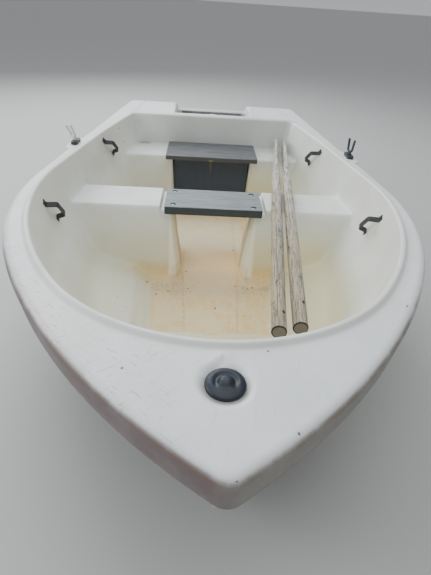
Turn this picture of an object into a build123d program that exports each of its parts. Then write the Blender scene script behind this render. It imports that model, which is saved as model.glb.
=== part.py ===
from build123d import *
from math import acos, atan2, cos, degrees, hypot, sin, sqrt, tan
import os

# All sizes are in millimetres. The bow points along -Y, the transom along +Y and port is +X.
# Z is up from the ground that the keel stands on.

# Overall size
length = 3050
beam = 1638
transom_width = 1228
deck_height = 590
tip_radius = 45
tip_loss = 9.2
transom_corner = 40

# Outer skin
fascia_height = 90
fascia_slope = (13, 3, 5)
edge_radius = 28
bottom_height = 45
keel_width = 70
runner_width = 60
runner_offset = 300
keel_front = 560
keel_back = 50
runner_front = 700
runner_back = 120
bar_rake = 160
bar_sink = 60

# Plan of the outer edge: share of the length forward of the transom, share of half the beam
outer_plan = (
    (0.5079, 0.986),
    (0.7459, 0.840),
    (0.8597, 0.577),
)
# Sections of the skin below the fascia: height, inset at the sides, setback at the bow and at the transom
skin_sections = (
    (deck_height - fascia_height, 34, 22, 14),
    (300, 78, 140, 24),
    (130, 150, 260, 36),
    (bottom_height, 270, 440, 50),
)

# Cockpit
bulkhead_back = 400
cockpit_front = 370
cockpit_aft_share = 0.6508
# Plan of the cockpit edge: share of the cockpit's length aft of its front, share of half the beam
cockpit_plan = (
    (0.109, 0.5983),
    (0.290, 0.8437),
    (0.509, 0.8950),
)
thwart_drop = 172
seat_drop = 192
bilge_height = 170
shelf_height = 110
floor_height = 66
# Sections of the cockpit below the rail: height, share of the width at the rail, setback at the front
cockpit_sections = (
    (deck_height, 1.0, 0),
    (deck_height - seat_drop, 0.947, 30),
    (bilge_height, 0.775, 110),
    (shelf_height, 0.470, 200),
)
bead_width = 30
bead_height = 13
bead_radius = 9
bead_full_place = 0.39474
bead_end_place = 0.65351

# Thwart boxes, floor well and passage; a place is a share of the cockpit's length aft of its front
thwart_place = 0.51404
thwart_depth = 238
thwart_draft = 95
passage_half = 211
passage_foot_half = 184
ledge_half = 263
box_edge = 12
well_place = 0.25219
well_half = 350
well_foot_half = 262
well_rise = 40
drain_slot_width = 40
drain_slot_length = 60
drain_slot_depth = 14

# Aft seat, locker and transom
seat_depth = 273
seat_draft = 50
locker_half = 248
locker_depth = 240
well_wall = 66
lip_thickness = 52
lip_drop = 45
motor_well_half = 262
motor_well_foot_half = 236
motor_well_depth = 170
motor_well_edge = 18
notch_half = 255

# Plank and lid
plank_half = 239
plank_depth = 226
plank_overhang = 42
plank_thickness = 40
plank_rise = 20
plank_corner = 6
plank_edge = 3
board_gap = 0.3
screw_head = (13, 4)
screw_inset = (42, 32)
lid_half = 293
lid_thickness = 26
lid_overhang = 76
lid_corner = 8
lid_edge = 4
batten_size = (40, 180, 16)
batten_offset = 160
front_board_thickness = 14
front_board_set = 18
front_board_gap = 4

# Hinges and catch
hinge_offset = 190
hinge_width = 60
hinge_leaf = (24, 2)
hinge_leaf_drop = 5
hinge_barrel = 4.5
hinge_pin = 2.2
pin_clearance = 0.1
hinge_to_bulkhead = 34
knuckle_gap = 0.5
catch_size = (34, 2.5, 26)
catch_drop = 6

# Bow cap in its teardrop recess
cap_back = 239
cap_radius = 46
cap_height = 20
# Profile of the cap from the rim's foot to the top of its knob: share of the radius, share of the height
cap_profile = (
    (1.0, 0.0),
    (1.0, 0.30),
    (0.94, 0.48),
    (0.76, 0.66),
    (0.62, 0.72),
    (0.49, 0.60),
    (0.37, 0.40),
    (0.26, 0.36),
    (0.22, 0.80),
    (0.14, 0.97),
    (0.0, 1.0),
)
recess_radius = 61
recess_point = 86
recess_depth = 9

# Oarlocks: a socket on each rail pad with a two-horned lock in it
lock_place_share = 0.68202
pad_length = 190
pad_width = 60
pad_taper = 40
pad_reach = 18
pad_height = 52
socket_size = (90, 34, 14)
socket_corner = 12
socket_sleeve = 14
socket_depth = 62
socket_inset = 14
pin_radius = 6.2
pin_short = 2
collar_wall = 4
lock_gap = 0.4
horn_lift = 10
horn_reach = 23
horn_height = 80
horn_radius = 6.5
horn_neck = 16
# Per side: how far the lock is turned in its socket and how far its horns lean outward, in degrees
lock_stance = {1: (-69, 0), -1: (-44, 22)}

# Strap handles: place along the cockpit, drop of the upper foot below the deck, run aft and down to the lower foot
handle_strap = (24, 5)
handle_arch = 44
handle_foot = 26
handle_ramp = 12
handle_bend = 11
handle_seat = 0.8
handles = (
    ("fore", 0.39386, 52, 96, 127),
    ("aft", 0.76886, 36, 95, 111),
)

# Oars
loom_radius = 26
neck_radius = 19
blade_width = 2 * (loom_radius + seat_drop - thwart_drop)
blade_tip_width = 70
blade_thickness = 16
blade_length = 620
loom_past_thwart = 20
# Per oar: offset to port at the near and far end as a share of half the beam, place of each end along the cockpit
oars = (
    ("starboard", 0.2320, 0.5470, 0.09649, 0.99035),
    ("port", 0.3199, 0.6105, 0.10614, 0.97368),
)

# Fittings
stem_eye_hole = 7
stem_eye_hole_edge = 18
stem_eye_size = (10, 40, 64)
stem_eye_corner = 20
stem_eye_root = 60
stem_eye_height = 200
drain_radius = 17
drain_flange = 26
drain_root = 60
drain_flange_length = 40
drain_knob_length = 14
drain_height = 130
strip_thickness = 6
clamp_width = 440
clamp_thickness = 12
clamp_height = 105

# How far a cut runs past what it cuts, with room to spare or just clear of it
cut_past = 30
cut_skin = 1

bow_y = -length / 2
transom_y = length / 2
cockpit_length = length - bulkhead_back - cockpit_front
seat_y = transom_y - bulkhead_back - seat_depth
thwart_top = deck_height - thwart_drop
seat_top = deck_height - seat_drop
ledge_top = thwart_top + plank_rise - plank_thickness - board_gap
hinge_y = transom_y - bulkhead_back - hinge_to_bulkhead
hinge_z = seat_top + board_gap + hinge_barrel
lid_aft = hinge_y - hinge_barrel - hinge_leaf[1] - board_gap
lid_foot = seat_top + board_gap


def at_bow(distance):
    """Y of a place that lies this far aft of the bow."""
    return bow_y + distance


def in_cockpit(place):
    """Y of a place given as a share of the cockpit's length aft of its front."""
    return at_bow(cockpit_front) + cockpit_length * place


def tangent_chain(points, heading):
    """Arcs through the points, each tangent to the one before: start, middle, end of each arc."""
    arcs = []
    for (x0, y0), (x1, y1) in zip(points[:-1], points[1:]):
        chord = atan2(y1 - y0, x1 - x0)
        turn = 2 * (chord - heading)
        half_chord = hypot(x1 - x0, y1 - y0) / 2
        bulge = half_chord * tan(turn / 4)
        middle = ((x0 + x1) / 2 + bulge * sin(chord), (y0 + y1) / 2 - bulge * cos(chord))
        arcs.append(((x0, y0), middle, (x1, y1)))
        heading += turn
    return arcs


def closed_outline(half_edges, height):
    """Face bounded by the half outline on +X, its mirror image and the straight transom between them."""
    right = Wire(half_edges)
    left = right.mirror(Plane.YZ)
    aft = max((edge @ end for edge in half_edges for end in (0, 1)), key=lambda point: point.Y)
    across = Line((-aft.X, aft.Y), (aft.X, aft.Y))
    return Pos(0, 0, height) * make_face([*right.edges(), *left.edges(), across])


def outer_face(height, inset=0, bow_back=0, transom_back=0, tip=tip_radius, corner=transom_corner):
    """Plan of the outer skin at one height, narrowed and shortened by the insets."""
    run = length + tip_loss - bow_back - transom_back
    aft_y = transom_y - transom_back
    half = beam / 2 - inset
    points = [(half * width, aft_y - run * share) for share, width in outer_plan]
    points.append((0, aft_y - run))
    aft = (transom_width / 2 - inset, aft_y)
    start = atan2(points[0][1] - aft[1], points[0][0] - aft[0])
    edges = [Line(aft, points[0])]
    edges += [ThreePointArc(*arc) for arc in tangent_chain(points, start)]
    face = closed_outline(edges, height)
    ends = face.vertices().sort_by(Axis.Y)
    face = fillet(ends[0], tip)
    ends = face.vertices().sort_by(Axis.Y)
    return fillet(ends[-2:], corner)


def cockpit_arcs(width_share=1.0, front_back=0, outset=0):
    """Arcs of the cockpit edge on the port side, from the bow aft."""
    front = at_bow(cockpit_front + front_back) - outset
    back = transom_y - bulkhead_back
    points = [(0, front)]
    half = beam / 2 * width_share
    points += [(half * width + outset, front + (back - front) * share) for share, width in cockpit_plan]
    points.append((half * cockpit_aft_share + outset, back))
    return tangent_chain(points, 0.0)


def cockpit_face(height, width_share=1.0, front_back=0, outset=0):
    """Plan of the cockpit at one height."""
    edges = [ThreePointArc(*arc) for arc in cockpit_arcs(width_share, front_back, outset)]
    return closed_outline(edges, height)


def wall_half_at(y, drop):
    """Half-width of the cockpit at a drop below the deck, between the rail and the seats."""
    _, share, setback = cockpit_sections[1]
    part = drop / seat_drop
    for start, middle, end in cockpit_arcs(1 - (1 - share) * part, setback * part):
        if start[1] <= y <= end[1]:
            arc = ThreePointArc(start, middle, end)
            centre = arc.arc_center
            rise = sqrt(arc.radius**2 - (y - centre.Y) ** 2)
            return centre.X + (rise if middle[0] > centre.X else -rise)
    return beam / 2 * cockpit_aft_share * share


def side_block(profile, half_width):
    """Block with a profile of (y, z) points, as wide as twice the half-width."""
    face = make_face(Polyline(*[(0, y, z) for y, z in profile], close=True))
    return extrude(Pos(-half_width, 0, 0) * face, 2 * half_width, dir=(1, 0, 0))


def cross_block(profile, start, end):
    """Block with a profile of (x, z) points, mirrored about the middle, between two places along the boat."""
    points = list(profile) + [(-x, z) for x, z in reversed(profile)]
    face = make_face(Polyline(*[(x, start, z) for x, z in points], close=True))
    return extrude(face, end - start, dir=(0, 1, 0))


def outer_body():
    """Outer skin: leaning fascia band with a rounded top edge, lower skin, keel, runners and rail pads."""
    lean = edge_radius / (fascia_height - edge_radius)
    rim = [-inset * lean for inset in fascia_slope]
    band = loft([outer_face(deck_height - fascia_height, *fascia_slope), outer_face(deck_height, *rim)], ruled=True)
    band = fillet(band.faces().sort_by(Axis.Z)[-1].edges(), edge_radius)
    skin = loft([outer_face(*row) for row in skin_sections], ruled=True)
    body = band + skin
    body += keel_bar(keel_width, 0, keel_front, keel_back)
    for side in (-1, 1):
        body += keel_bar(runner_width, side * runner_offset, runner_front, runner_back)
        body += rail_pad(side)
    return body


def keel_bar(width, offset, front, back):
    """Bar along the bottom with a raked front end, down to its rub strip."""
    nose = at_bow(front)
    end = transom_y - back
    top = bottom_height + bar_sink
    foot = strip_thickness
    return Pos(offset, 0, 0) * side_block(((nose, top), (nose + bar_rake, foot), (end, foot), (end, top)), width / 2)


def outer_half_at(y):
    """Half-width of the outer edge on its straight run aft of the widest place."""
    share, width = outer_plan[0]
    fore = (beam / 2 * width, transom_y - (length + tip_loss) * share)
    part = (y - fore[1]) / (transom_y - fore[1])
    return fore[0] + (transom_width / 2 - fore[0]) * part


def lock_place(side):
    """Centre of an oarlock socket on the rail."""
    y = in_cockpit(lock_place_share)
    return Vector(side * (outer_half_at(y) - socket_inset), y, deck_height)


def rail_pad(side):
    """Pad on the outer face of the rail that carries an oarlock socket."""
    centre = lock_place(side)
    outer = side * (outer_half_at(centre.Y) + pad_reach)
    inner = outer - side * pad_width
    ends = pad_length / 2
    flat = ends - pad_taper
    corners = [(inner, -ends), (outer, -flat), (outer, flat), (inner, ends)]
    outline = make_face(Polyline(*corners, close=True))
    return extrude(Pos(0, centre.Y, deck_height - pad_height) * outline, pad_height)


def coaming_bead():
    """Raised bead round the front of the cockpit that sinks into the deck towards the oarlocks."""
    inner = cockpit_face(deck_height)
    outer = cockpit_face(deck_height, outset=bead_width)
    ring = extrude(outer, bead_height) - extrude(inner, bead_height)
    tops = ring.faces().sort_by(Axis.Z)[-1].edges()
    ring = fillet(tops, bead_radius)
    top = deck_height + bead_height
    above = top + cut_past
    full = in_cockpit(bead_full_place)
    end = in_cockpit(bead_end_place)
    aft = transom_y + cut_past
    return ring - side_block(((full, top), (end, deck_height), (aft, deck_height), (aft, above), (full, above)), beam)


def cockpit_body():
    """Air of the cockpit, before the boxes are put back."""
    tops = [cockpit_face(deck_height + cut_past)] + [cockpit_face(*row) for row in cockpit_sections]
    return loft(tops, ruled=True)


def mid_boxes():
    """The two thwart boxes, with the passage between them."""
    front = in_cockpit(thwart_place)
    back = front + thwart_depth
    top = deck_height - thwart_drop
    foot_front = front - thwart_draft
    foot_back = back + thwart_draft / 3
    box = side_block(((front, top), (back, top), (foot_back, 0), (foot_front, 0)), beam / 2)
    box = fillet(box.edges().filter_by(Axis.X).group_by(Axis.Z)[-1], box_edge)
    start, end = foot_front - cut_past, foot_back + cut_past
    passage = cross_block(((passage_half, ledge_top + cut_skin), (passage_foot_half, floor_height)), start, end)
    ledge = cross_block(((ledge_half, top + cut_skin), (ledge_half, ledge_top)), start, end)
    return box - passage - ledge


def aft_box():
    """Aft seat box with its locker recess."""
    aft = transom_y - bulkhead_back + cut_past
    foot = seat_y - seat_draft
    box = side_block(((seat_y, seat_top), (aft, seat_top), (aft, 0), (foot, 0)), beam / 2)
    box = fillet(box.edges().filter_by(Axis.X).group_by(Axis.Z)[-1].sort_by(Axis.Y)[0], box_edge)
    return box - Pos(0, foot - cut_past, floor_height) * Box(
        2 * locker_half, seat_draft + cut_past + locker_depth, deck_height, align=(Align.CENTER, Align.MIN, Align.MIN)
    )


def floor_well():
    """Sunken well in the floor, from the forward step through the passage to the locker."""
    front = in_cockpit(well_place)
    mid = in_cockpit(thwart_place) - thwart_draft
    back = seat_y + locker_depth
    top = shelf_height + well_rise
    wide = cross_block(((well_half, top), (well_half, shelf_height), (well_foot_half, floor_height)), front, mid)
    narrow = cross_block(((locker_half, top), (locker_half, floor_height)), mid, back)
    slot = Pos(0, front, shelf_height) * Box(
        drain_slot_width, drain_slot_length, 2 * drain_slot_depth, align=(Align.CENTER, Align.CENTER, Align.CENTER)
    )
    return wide, narrow, slot


def motor_well():
    """Recess between the transom towers, with the lower lip that the motor hangs on."""
    front = transom_y - bulkhead_back + well_wall
    back = transom_y - lip_thickness
    foot = deck_height - motor_well_depth
    above = deck_height + cut_past
    sill = deck_height - lip_drop
    pit = cross_block(((motor_well_half, above), (motor_well_foot_half, foot)), front, back)
    pit = fillet(pit.edges().group_by(Axis.Z)[0], motor_well_edge)
    notch = cross_block(((motor_well_half, above), (notch_half, sill)), back - cut_skin, transom_y + cut_past)
    return pit + notch


def teardrop():
    """Shallow recess round the bow cap, drawn out to a point towards the cockpit."""
    turn = acos(recess_radius / recess_point)
    x, y = recess_radius * sin(turn), recess_radius * cos(turn)
    point = make_face(Polyline((-x, y), (0, recess_point), (x, y), (0, 0), close=True))
    face = point + Circle(recess_radius)
    return extrude(Pos(0, at_bow(cap_back), deck_height - recess_depth) * face, recess_depth + cut_past)


def hull():
    """The whole moulding, solid between its skins."""
    body = outer_body() + coaming_bead()
    wide, narrow, slot = floor_well()
    boxes = mid_boxes() + aft_box()
    air = cockpit_body() - boxes
    body -= air
    body -= wide - boxes
    body -= narrow - boxes
    body -= slot
    body -= motor_well()
    body -= teardrop()
    for side in (-1, 1):
        place = lock_place(side)
        body -= Pos(place.X, place.Y, deck_height) * Cylinder(
            socket_sleeve + board_gap, 2 * (socket_depth + cut_skin), align=(Align.CENTER, Align.CENTER, Align.CENTER)
        )
    return body


def thwart_plank():
    """Plank between the thwart boxes, with four counterbored screw seats."""
    y0 = in_cockpit(thwart_place) - plank_overhang
    plank = Pos(0, y0, ledge_top + board_gap) * Box(
        2 * plank_half, plank_depth, plank_thickness, align=(Align.CENTER, Align.MIN, Align.MIN)
    )
    plank = fillet(plank.edges().filter_by(Axis.Z), plank_corner)
    plank = fillet(plank.faces().sort_by(Axis.Z)[-1].edges(), plank_edge)
    across, along = screw_inset
    for x in (-plank_half + across, plank_half - across):
        for y in (y0 + along, y0 + plank_depth - along):
            seat = Cylinder(screw_head[0], 2 * screw_head[1])
            plank -= Pos(x, y, ledge_top + board_gap + plank_thickness) * seat
    return plank


def locker_lid():
    """Lid board over the locker, with eased edges."""
    front = seat_y - lid_overhang
    lid = Pos(0, front, lid_foot) * Box(
        2 * lid_half, lid_aft - front, lid_thickness, align=(Align.CENTER, Align.MIN, Align.MIN)
    )
    lid = fillet(lid.edges().filter_by(Axis.Z), lid_corner)
    return fillet(lid.faces().sort_by(Axis.Z)[-1].edges(), lid_edge)


def lid_battens():
    """Two battens under the lid that keep it flat."""
    width, depth, height = batten_size
    back = lid_aft - board_gap - hinge_barrel
    batten = Box(width, depth, height, align=(Align.CENTER, Align.MAX, Align.MAX))
    return Compound([Pos(side * batten_offset, back, lid_foot) * batten for side in (-1, 1)])


def locker_front():
    """Dark board that closes the front of the locker."""
    foot = floor_height + board_gap
    return Pos(0, seat_y + front_board_set, foot) * Box(
        2 * (locker_half - front_board_gap), front_board_thickness, seat_top - foot - board_gap,
        align=(Align.CENTER, Align.MIN, Align.MIN),
    )


def locker_catch():
    """Brass catch plate at the top of the front board."""
    width, thickness, height = catch_size
    top = seat_top - board_gap - catch_drop
    return Pos(0, seat_y + front_board_set, top) * Box(
        width, thickness, height, align=(Align.CENTER, Align.MAX, Align.MAX)
    )


def barrel(radius, width, x):
    """Round bar along X on the hinge axis."""
    return Pos(x, hinge_y, hinge_z) * Rot(0, 90, 0) * Cylinder(radius, width)


def lid_hinge_base():
    """Fixed half of both hinges: leaf on the seat, two knuckles and the pin."""
    run, thickness = hinge_leaf
    third = hinge_width / 3
    parts = []
    for side in (-1, 1):
        x = side * hinge_offset
        leaf = Pos(x, hinge_y, seat_top + board_gap) * Box(
            hinge_width, run + hinge_barrel, thickness, align=(Align.CENTER, Align.MIN, Align.MIN)
        )
        leaf -= Pos(x, hinge_y, hinge_z) * Box(third + 2 * knuckle_gap, 2 * hinge_barrel + cut_skin, 4 * hinge_barrel)
        for end in (-1, 1):
            leaf += barrel(hinge_barrel, third - knuckle_gap, x + end * (third + knuckle_gap / 2))
        parts.append(leaf + barrel(hinge_pin, hinge_width, x))
    return Compound(parts)


def lid_hinge_leaf():
    """Moving half of both hinges: leaf on the lid's aft edge and the middle knuckle."""
    thickness = hinge_leaf[1]
    third = hinge_width / 3
    parts = []
    for side in (-1, 1):
        x = side * hinge_offset
        leaf = Pos(x, lid_aft, lid_foot) * Box(
            hinge_width, thickness, lid_thickness - hinge_leaf_drop, align=(Align.CENTER, Align.MIN, Align.MIN)
        )
        middle = barrel(hinge_barrel, third - knuckle_gap, x)
        web = Pos(x, lid_aft, hinge_z) * Box(
            third - knuckle_gap, hinge_y - lid_aft, thickness, align=(Align.CENTER, Align.MIN, Align.MIN)
        )
        leaf = leaf + middle + web - barrel(hinge_pin + pin_clearance, hinge_width, x)
        parts.append(leaf)
    return Compound(parts)


def bow_cap():
    """Round rubber cap with a domed flange, a dished ring and a middle knob."""
    outline = [(0, 0)] + [(cap_radius * out, cap_height * up) for out, up in cap_profile]
    cap = revolve(Plane.XZ * make_face(Polyline(*outline, close=True)), Axis.Z)
    return Pos(0, at_bow(cap_back), deck_height - recess_depth + board_gap) * cap


def lock_socket(side):
    """Black socket on the rail pad, with a sleeve down into the rail."""
    place = lock_place(side)
    long, wide, high = socket_size
    block = Pos(0, 0, board_gap) * Box(wide, long, high, align=(Align.CENTER, Align.CENTER, Align.MIN))
    block = fillet(block.edges().filter_by(Axis.Z), socket_corner)
    sleeve = Pos(0, 0, board_gap) * Cylinder(
        socket_sleeve, socket_depth, align=(Align.CENTER, Align.CENTER, Align.MAX)
    )
    bore = Cylinder(pin_radius + pin_clearance, 4 * socket_depth)
    return Pos(place) * (block + sleeve - bore)


def oarlock(side):
    """Two-horned lock with its pin down in the socket."""
    place = lock_place(side)
    high = socket_size[2] + board_gap + lock_gap
    low = horn_radius + horn_lift
    points = ((-horn_reach, 0, horn_height), (-horn_neck, 0, low), (horn_neck, 0, low), (horn_reach, 0, horn_height))
    path = FilletPolyline(*points, radius=horn_neck * 0.8)
    horns = sweep(Plane(path @ 0, z_dir=path % 0) * Circle(horn_radius), path)
    collar = Cylinder(pin_radius + collar_wall, low, align=(Align.CENTER, Align.CENTER, Align.MIN))
    pin = Cylinder(pin_radius, socket_depth + high - pin_short, align=(Align.CENTER, Align.CENTER, Align.MAX))
    turn, lean = lock_stance[side]
    return Pos(place) * Pos(0, 0, high) * (Rot(0, side * lean, 0) * Rot(0, 0, turn) * horns + collar + pin)


def handle(row, side):
    """Strap handle that stands off the side wall between its two feet."""
    _, place, drop, run, fall = row
    width, thickness = handle_strap
    y = in_cockpit(place)
    upper = wall_point(y, drop, side)
    lower = wall_point(y + run, drop + fall, side)
    chord = (lower - upper).length
    foot, arch = handle_foot, handle_arch
    bend = foot + handle_ramp
    points = ((0, 0), (foot, 0), (bend, arch), (chord - bend, arch), (chord - foot, 0), (chord, 0))
    centre = FilletPolyline(*points, radius=handle_bend)
    strap = make_face(offset(centre, thickness / 2, side=Side.BOTH).edges())
    strap = extrude(strap, width / 2, both=True)
    along = (lower - upper).normalized()
    inward = wall_normal(y, side)
    inward = (inward - along * inward.dot(along)).normalized()
    frame = Plane(origin=upper + inward * (thickness / 2 + handle_seat), x_dir=along, z_dir=along.cross(inward))
    return frame * strap


def wall_point(y, drop, side):
    """Point on the cockpit wall at a place along the boat and a drop below the deck."""
    return Vector(side * wall_half_at(y, drop), y, deck_height - drop)


def wall_normal(y, side):
    """Direction into the cockpit at the upper wall."""
    step = 50
    top = wall_point(y, 0, side)
    down = wall_point(y, step, side) - top
    along = wall_point(y + step, 0, side) - top
    normal = down.cross(along).normalized()
    return normal if normal.X * side < 0 else -normal


def oar(row):
    """Oar with a round loom and a narrow blade that stands on its edge."""
    _, near_out, far_out, near_place, far_place = row
    near = Vector(beam / 2 * near_out, in_cockpit(near_place), 0)
    far = Vector(beam / 2 * far_out, in_cockpit(far_place), 0)
    size = (far - near).length
    neck = size - blade_length
    inside = size - blade_length * 0.4
    straight = in_cockpit(thwart_place) + thwart_depth + loom_past_thwart - near.Y
    taper = [(loom_radius, 0), (loom_radius, straight), (neck_radius, neck), (neck_radius * 0.4, inside)]
    loom = revolve(make_face(Polyline((0, 0), *taper, (0, inside), close=True)), Axis.Y)
    root, full, shoulder = neck - blade_length * 0.1, neck + blade_length * 0.26, size - blade_length * 0.19
    edge = [
        (root, neck_radius * 0.8), (full, blade_width / 2), (shoulder, blade_width / 2), (size, blade_tip_width / 2),
    ]
    other = [(y, -z) for y, z in reversed(edge)]
    blade = extrude(Plane.YZ * make_face(Polyline(*edge, *other, close=True)), blade_thickness / 2, both=True)
    turn = degrees(atan2(near.X - far.X, far.Y - near.Y))
    height = seat_top + board_gap + blade_width / 2
    return Pos(near.X, near.Y, height) * Rot(0, 0, turn) * (loom + blade)


def stem_eye(body):
    """Flat towing eye low on the stem, cut to the shape of the skin behind it."""
    thick, reach, high = stem_eye_size
    corner = stem_eye_corner
    shoulder = high / 2 - corner
    edge = [(stem_eye_root, high / 2), (corner - reach, high / 2), (-reach, shoulder)]
    other = [(y, -z) for y, z in reversed(edge)]
    plate = extrude(Plane.YZ * make_face(Polyline(*edge, *other, close=True)), thick / 2, both=True)
    plate -= Pos(0, stem_eye_hole_edge - reach, 0) * Rot(0, 90, 0) * Cylinder(stem_eye_hole, 2 * thick)
    return Pos(0, stem_y(stem_eye_height), stem_eye_height) * plate - body


def stem_y(height):
    """Y of the rounded stem at a height on the skin."""
    for (z1, _, b1, _), (z0, _, b0, _) in zip(skin_sections, skin_sections[1:]):
        if z0 <= height <= z1:
            return at_bow(b1 + (b0 - b1) * (z1 - height) / (z1 - z0))


def drain_plug(body):
    """Drain plug low in the middle of the transom."""
    flange = Cylinder(drain_flange, drain_flange_length, align=(Align.CENTER, Align.CENTER, Align.MIN))
    knob = Cylinder(drain_radius, drain_knob_length, align=(Align.CENTER, Align.CENTER, Align.MIN))
    plug = flange + Pos(0, 0, drain_flange_length) * knob
    return Pos(0, transom_y - drain_root, drain_height) * Rot(-90, 0, 0) * plug - body


def rub_strip(width, offset_x, front, back):
    """Wear strip under a keel bar, which the boat stands on."""
    start = at_bow(front) + bar_rake
    end = transom_y - back
    return Pos(offset_x, start, 0) * Box(
        width, end - start, strip_thickness, align=(Align.CENTER, Align.MIN, Align.MIN)
    )


def motor_pad():
    """Clamp pad on the forward face of the transom lip."""
    return Pos(0, transom_y - lip_thickness - board_gap, deck_height - lip_drop) * Box(
        clamp_width, clamp_thickness, clamp_height, align=(Align.CENTER, Align.MAX, Align.MAX)
    )


def write(shape, node):
    """Write one sub-part to its file."""
    export_step(shape, f"parts/{node}.step")


def main():
    os.makedirs("parts", exist_ok=True)
    body = hull()
    write(body, "hull")
    write(thwart_plank(), "thwart_plank")
    write(locker_lid(), "locker_lid")
    write(lid_battens(), "lid_battens")
    write(locker_front(), "locker_front")
    write(locker_catch(), "locker_catch")
    write(lid_hinge_base(), "lid_hinge_base")
    write(lid_hinge_leaf(), "lid_hinge_leaf")
    write(bow_cap(), "bow_cap")
    write(motor_pad(), "motor_pad")
    write(stem_eye(body), "stem_eye")
    write(drain_plug(body), "drain_plug")
    write(rub_strip(keel_width, 0, keel_front, keel_back), "keel_strip")
    for side, name in ((1, "port"), (-1, "starboard")):
        write(lock_socket(side), f"lock_socket_{name}")
        write(oarlock(side), f"oarlock_{name}")
        write(rub_strip(runner_width, side * runner_offset, runner_front, runner_back), f"runner_strip_{name}")
        for row in handles:
            write(handle(row, side), f"handle_{row[0]}_{name}")
    for row in oars:
        write(oar(row), f"oar_{row[0]}")


main()
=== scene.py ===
import math

import bmesh
import bpy
import mathutils
import numpy as np
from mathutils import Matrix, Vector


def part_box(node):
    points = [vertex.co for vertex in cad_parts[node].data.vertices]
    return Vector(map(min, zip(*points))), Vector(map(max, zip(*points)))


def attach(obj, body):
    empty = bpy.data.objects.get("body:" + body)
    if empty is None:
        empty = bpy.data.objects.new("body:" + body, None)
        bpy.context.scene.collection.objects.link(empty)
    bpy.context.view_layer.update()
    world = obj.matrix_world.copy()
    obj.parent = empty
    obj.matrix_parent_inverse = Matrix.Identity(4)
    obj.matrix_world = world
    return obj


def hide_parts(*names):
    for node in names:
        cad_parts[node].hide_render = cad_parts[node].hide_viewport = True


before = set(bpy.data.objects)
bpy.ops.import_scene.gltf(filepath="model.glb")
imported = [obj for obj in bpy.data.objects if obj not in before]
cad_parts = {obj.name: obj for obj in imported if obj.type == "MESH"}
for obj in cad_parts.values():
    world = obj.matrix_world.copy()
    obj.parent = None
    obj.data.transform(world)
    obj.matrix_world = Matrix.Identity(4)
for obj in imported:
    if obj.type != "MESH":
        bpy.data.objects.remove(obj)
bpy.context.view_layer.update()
print("frame loaded")


def softMax(a, b, blend):
    # the larger of two heights, with the corner between them filled over the height blend
    near = np.clip(1 - np.abs(a - b) / blend, 0, 1)
    return np.maximum(a, b) + near * near * blend / 4


def softMin(a, b, blend):
    # the smaller of two heights, with the corner between them eased over the height blend
    return -softMax(-np.asarray(a), -np.asarray(b), blend)


def ease(t):
    # 0 to 1 with level ends: 3t squared less 2t cubed
    t = np.clip(t, 0, 1)
    return t * t * (3 - 2 * t)


def runLength(line):
    # distance along a polyline at each of its points
    steps = np.linalg.norm(np.diff(line, axis=0), axis=1)
    return np.concatenate([[0], np.cumsum(steps)])


def resampled(table, at, where):
    # every column of a table of rows, read between its rows: the rows lie at the values "at"
    return np.stack([np.interp(where, at, column) for column in np.asarray(table).T], -1)


def softened(values, sigma):
    # an evenly sampled line with its kinks spread by a Gaussian of sigma samples, ends held by mirroring
    reach = int(4 * sigma)
    bell = np.exp(-0.5 * (np.arange(-reach, reach + 1) / sigma) ** 2)
    before = 2 * values[:1] - values[reach:0:-1]
    after = 2 * values[-1:] - values[-2:-reach - 2:-1]
    padded = np.concatenate([before, values, after])
    return np.stack([np.convolve(column, bell / bell.sum(), "valid") for column in padded.T], -1)


def bunched(*bunches):
    # values spaced evenly within each bunch (from, to, count), and the last bunch's end
    runs = [np.linspace(first, last, count, endpoint=False) for first, last, count in bunches]
    return np.concatenate(runs + [[bunches[-1][1]]])


def arcChain(points, heading, count=160):
    # circular arcs through the points, each starting in the direction that the last one ended in
    runs = []
    for (x0, y0), (x1, y1) in zip(points[:-1], points[1:]):
        turn = 2 * (math.atan2(y1 - y0, x1 - x0) - heading)
        radius = math.hypot(x1 - x0, y1 - y0) / 2 / math.sin(turn / 2)
        angle = heading + np.linspace(0, turn, count)
        centre = (x0 - radius * math.sin(heading), y0 + radius * math.cos(heading))
        runs.append(np.stack([centre[0] + radius * np.sin(angle), centre[1] - radius * np.cos(angle)], 1))
        heading += turn
    return np.concatenate([runs[0]] + [run[1:] for run in runs[1:]])


def gridMesh(name, grid, flip=False):
    # a (rows, columns, 3) array of points becomes quads; the last column meets the first
    rows, columns = grid.shape[:2]
    index = np.arange(rows * columns).reshape(rows, columns)
    right = np.roll(index, -1, axis=1)
    quads = np.stack([index[:-1], index[1:], right[1:], right[:-1]], -1).reshape(-1, 4)
    if flip:
        quads = quads[:, ::-1]
    mesh = bpy.data.meshes.new(name)
    mesh.from_pydata(grid.reshape(-1, 3).tolist(), [], quads.tolist())
    return mesh


def addPiece(name, mesh, material):
    # welds what coincides, shades it smooth and hangs the piece on the root body
    work = bmesh.new()
    work.from_mesh(mesh)
    bmesh.ops.remove_doubles(work, verts=work.verts, dist=1e-5)
    bmesh.ops.dissolve_degenerate(work, dist=1e-7, edges=work.edges)
    work.to_mesh(mesh)
    work.free()
    mesh.shade_smooth()
    piece = bpy.data.objects.new(name, mesh)
    bpy.context.scene.collection.objects.link(piece)
    mesh.materials.append(material)
    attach(piece, "root")
    return piece


def operator(name, swapped=False):
    # a method of a signal that adds one Math node; swapped is for a number that stands before the signal
    def apply(signal, *others):
        terms = (signal, *others)
        return signal.paint.node("Math", dict(enumerate(terms[::-1] if swapped else terms)), operation=name)
    return apply


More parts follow.
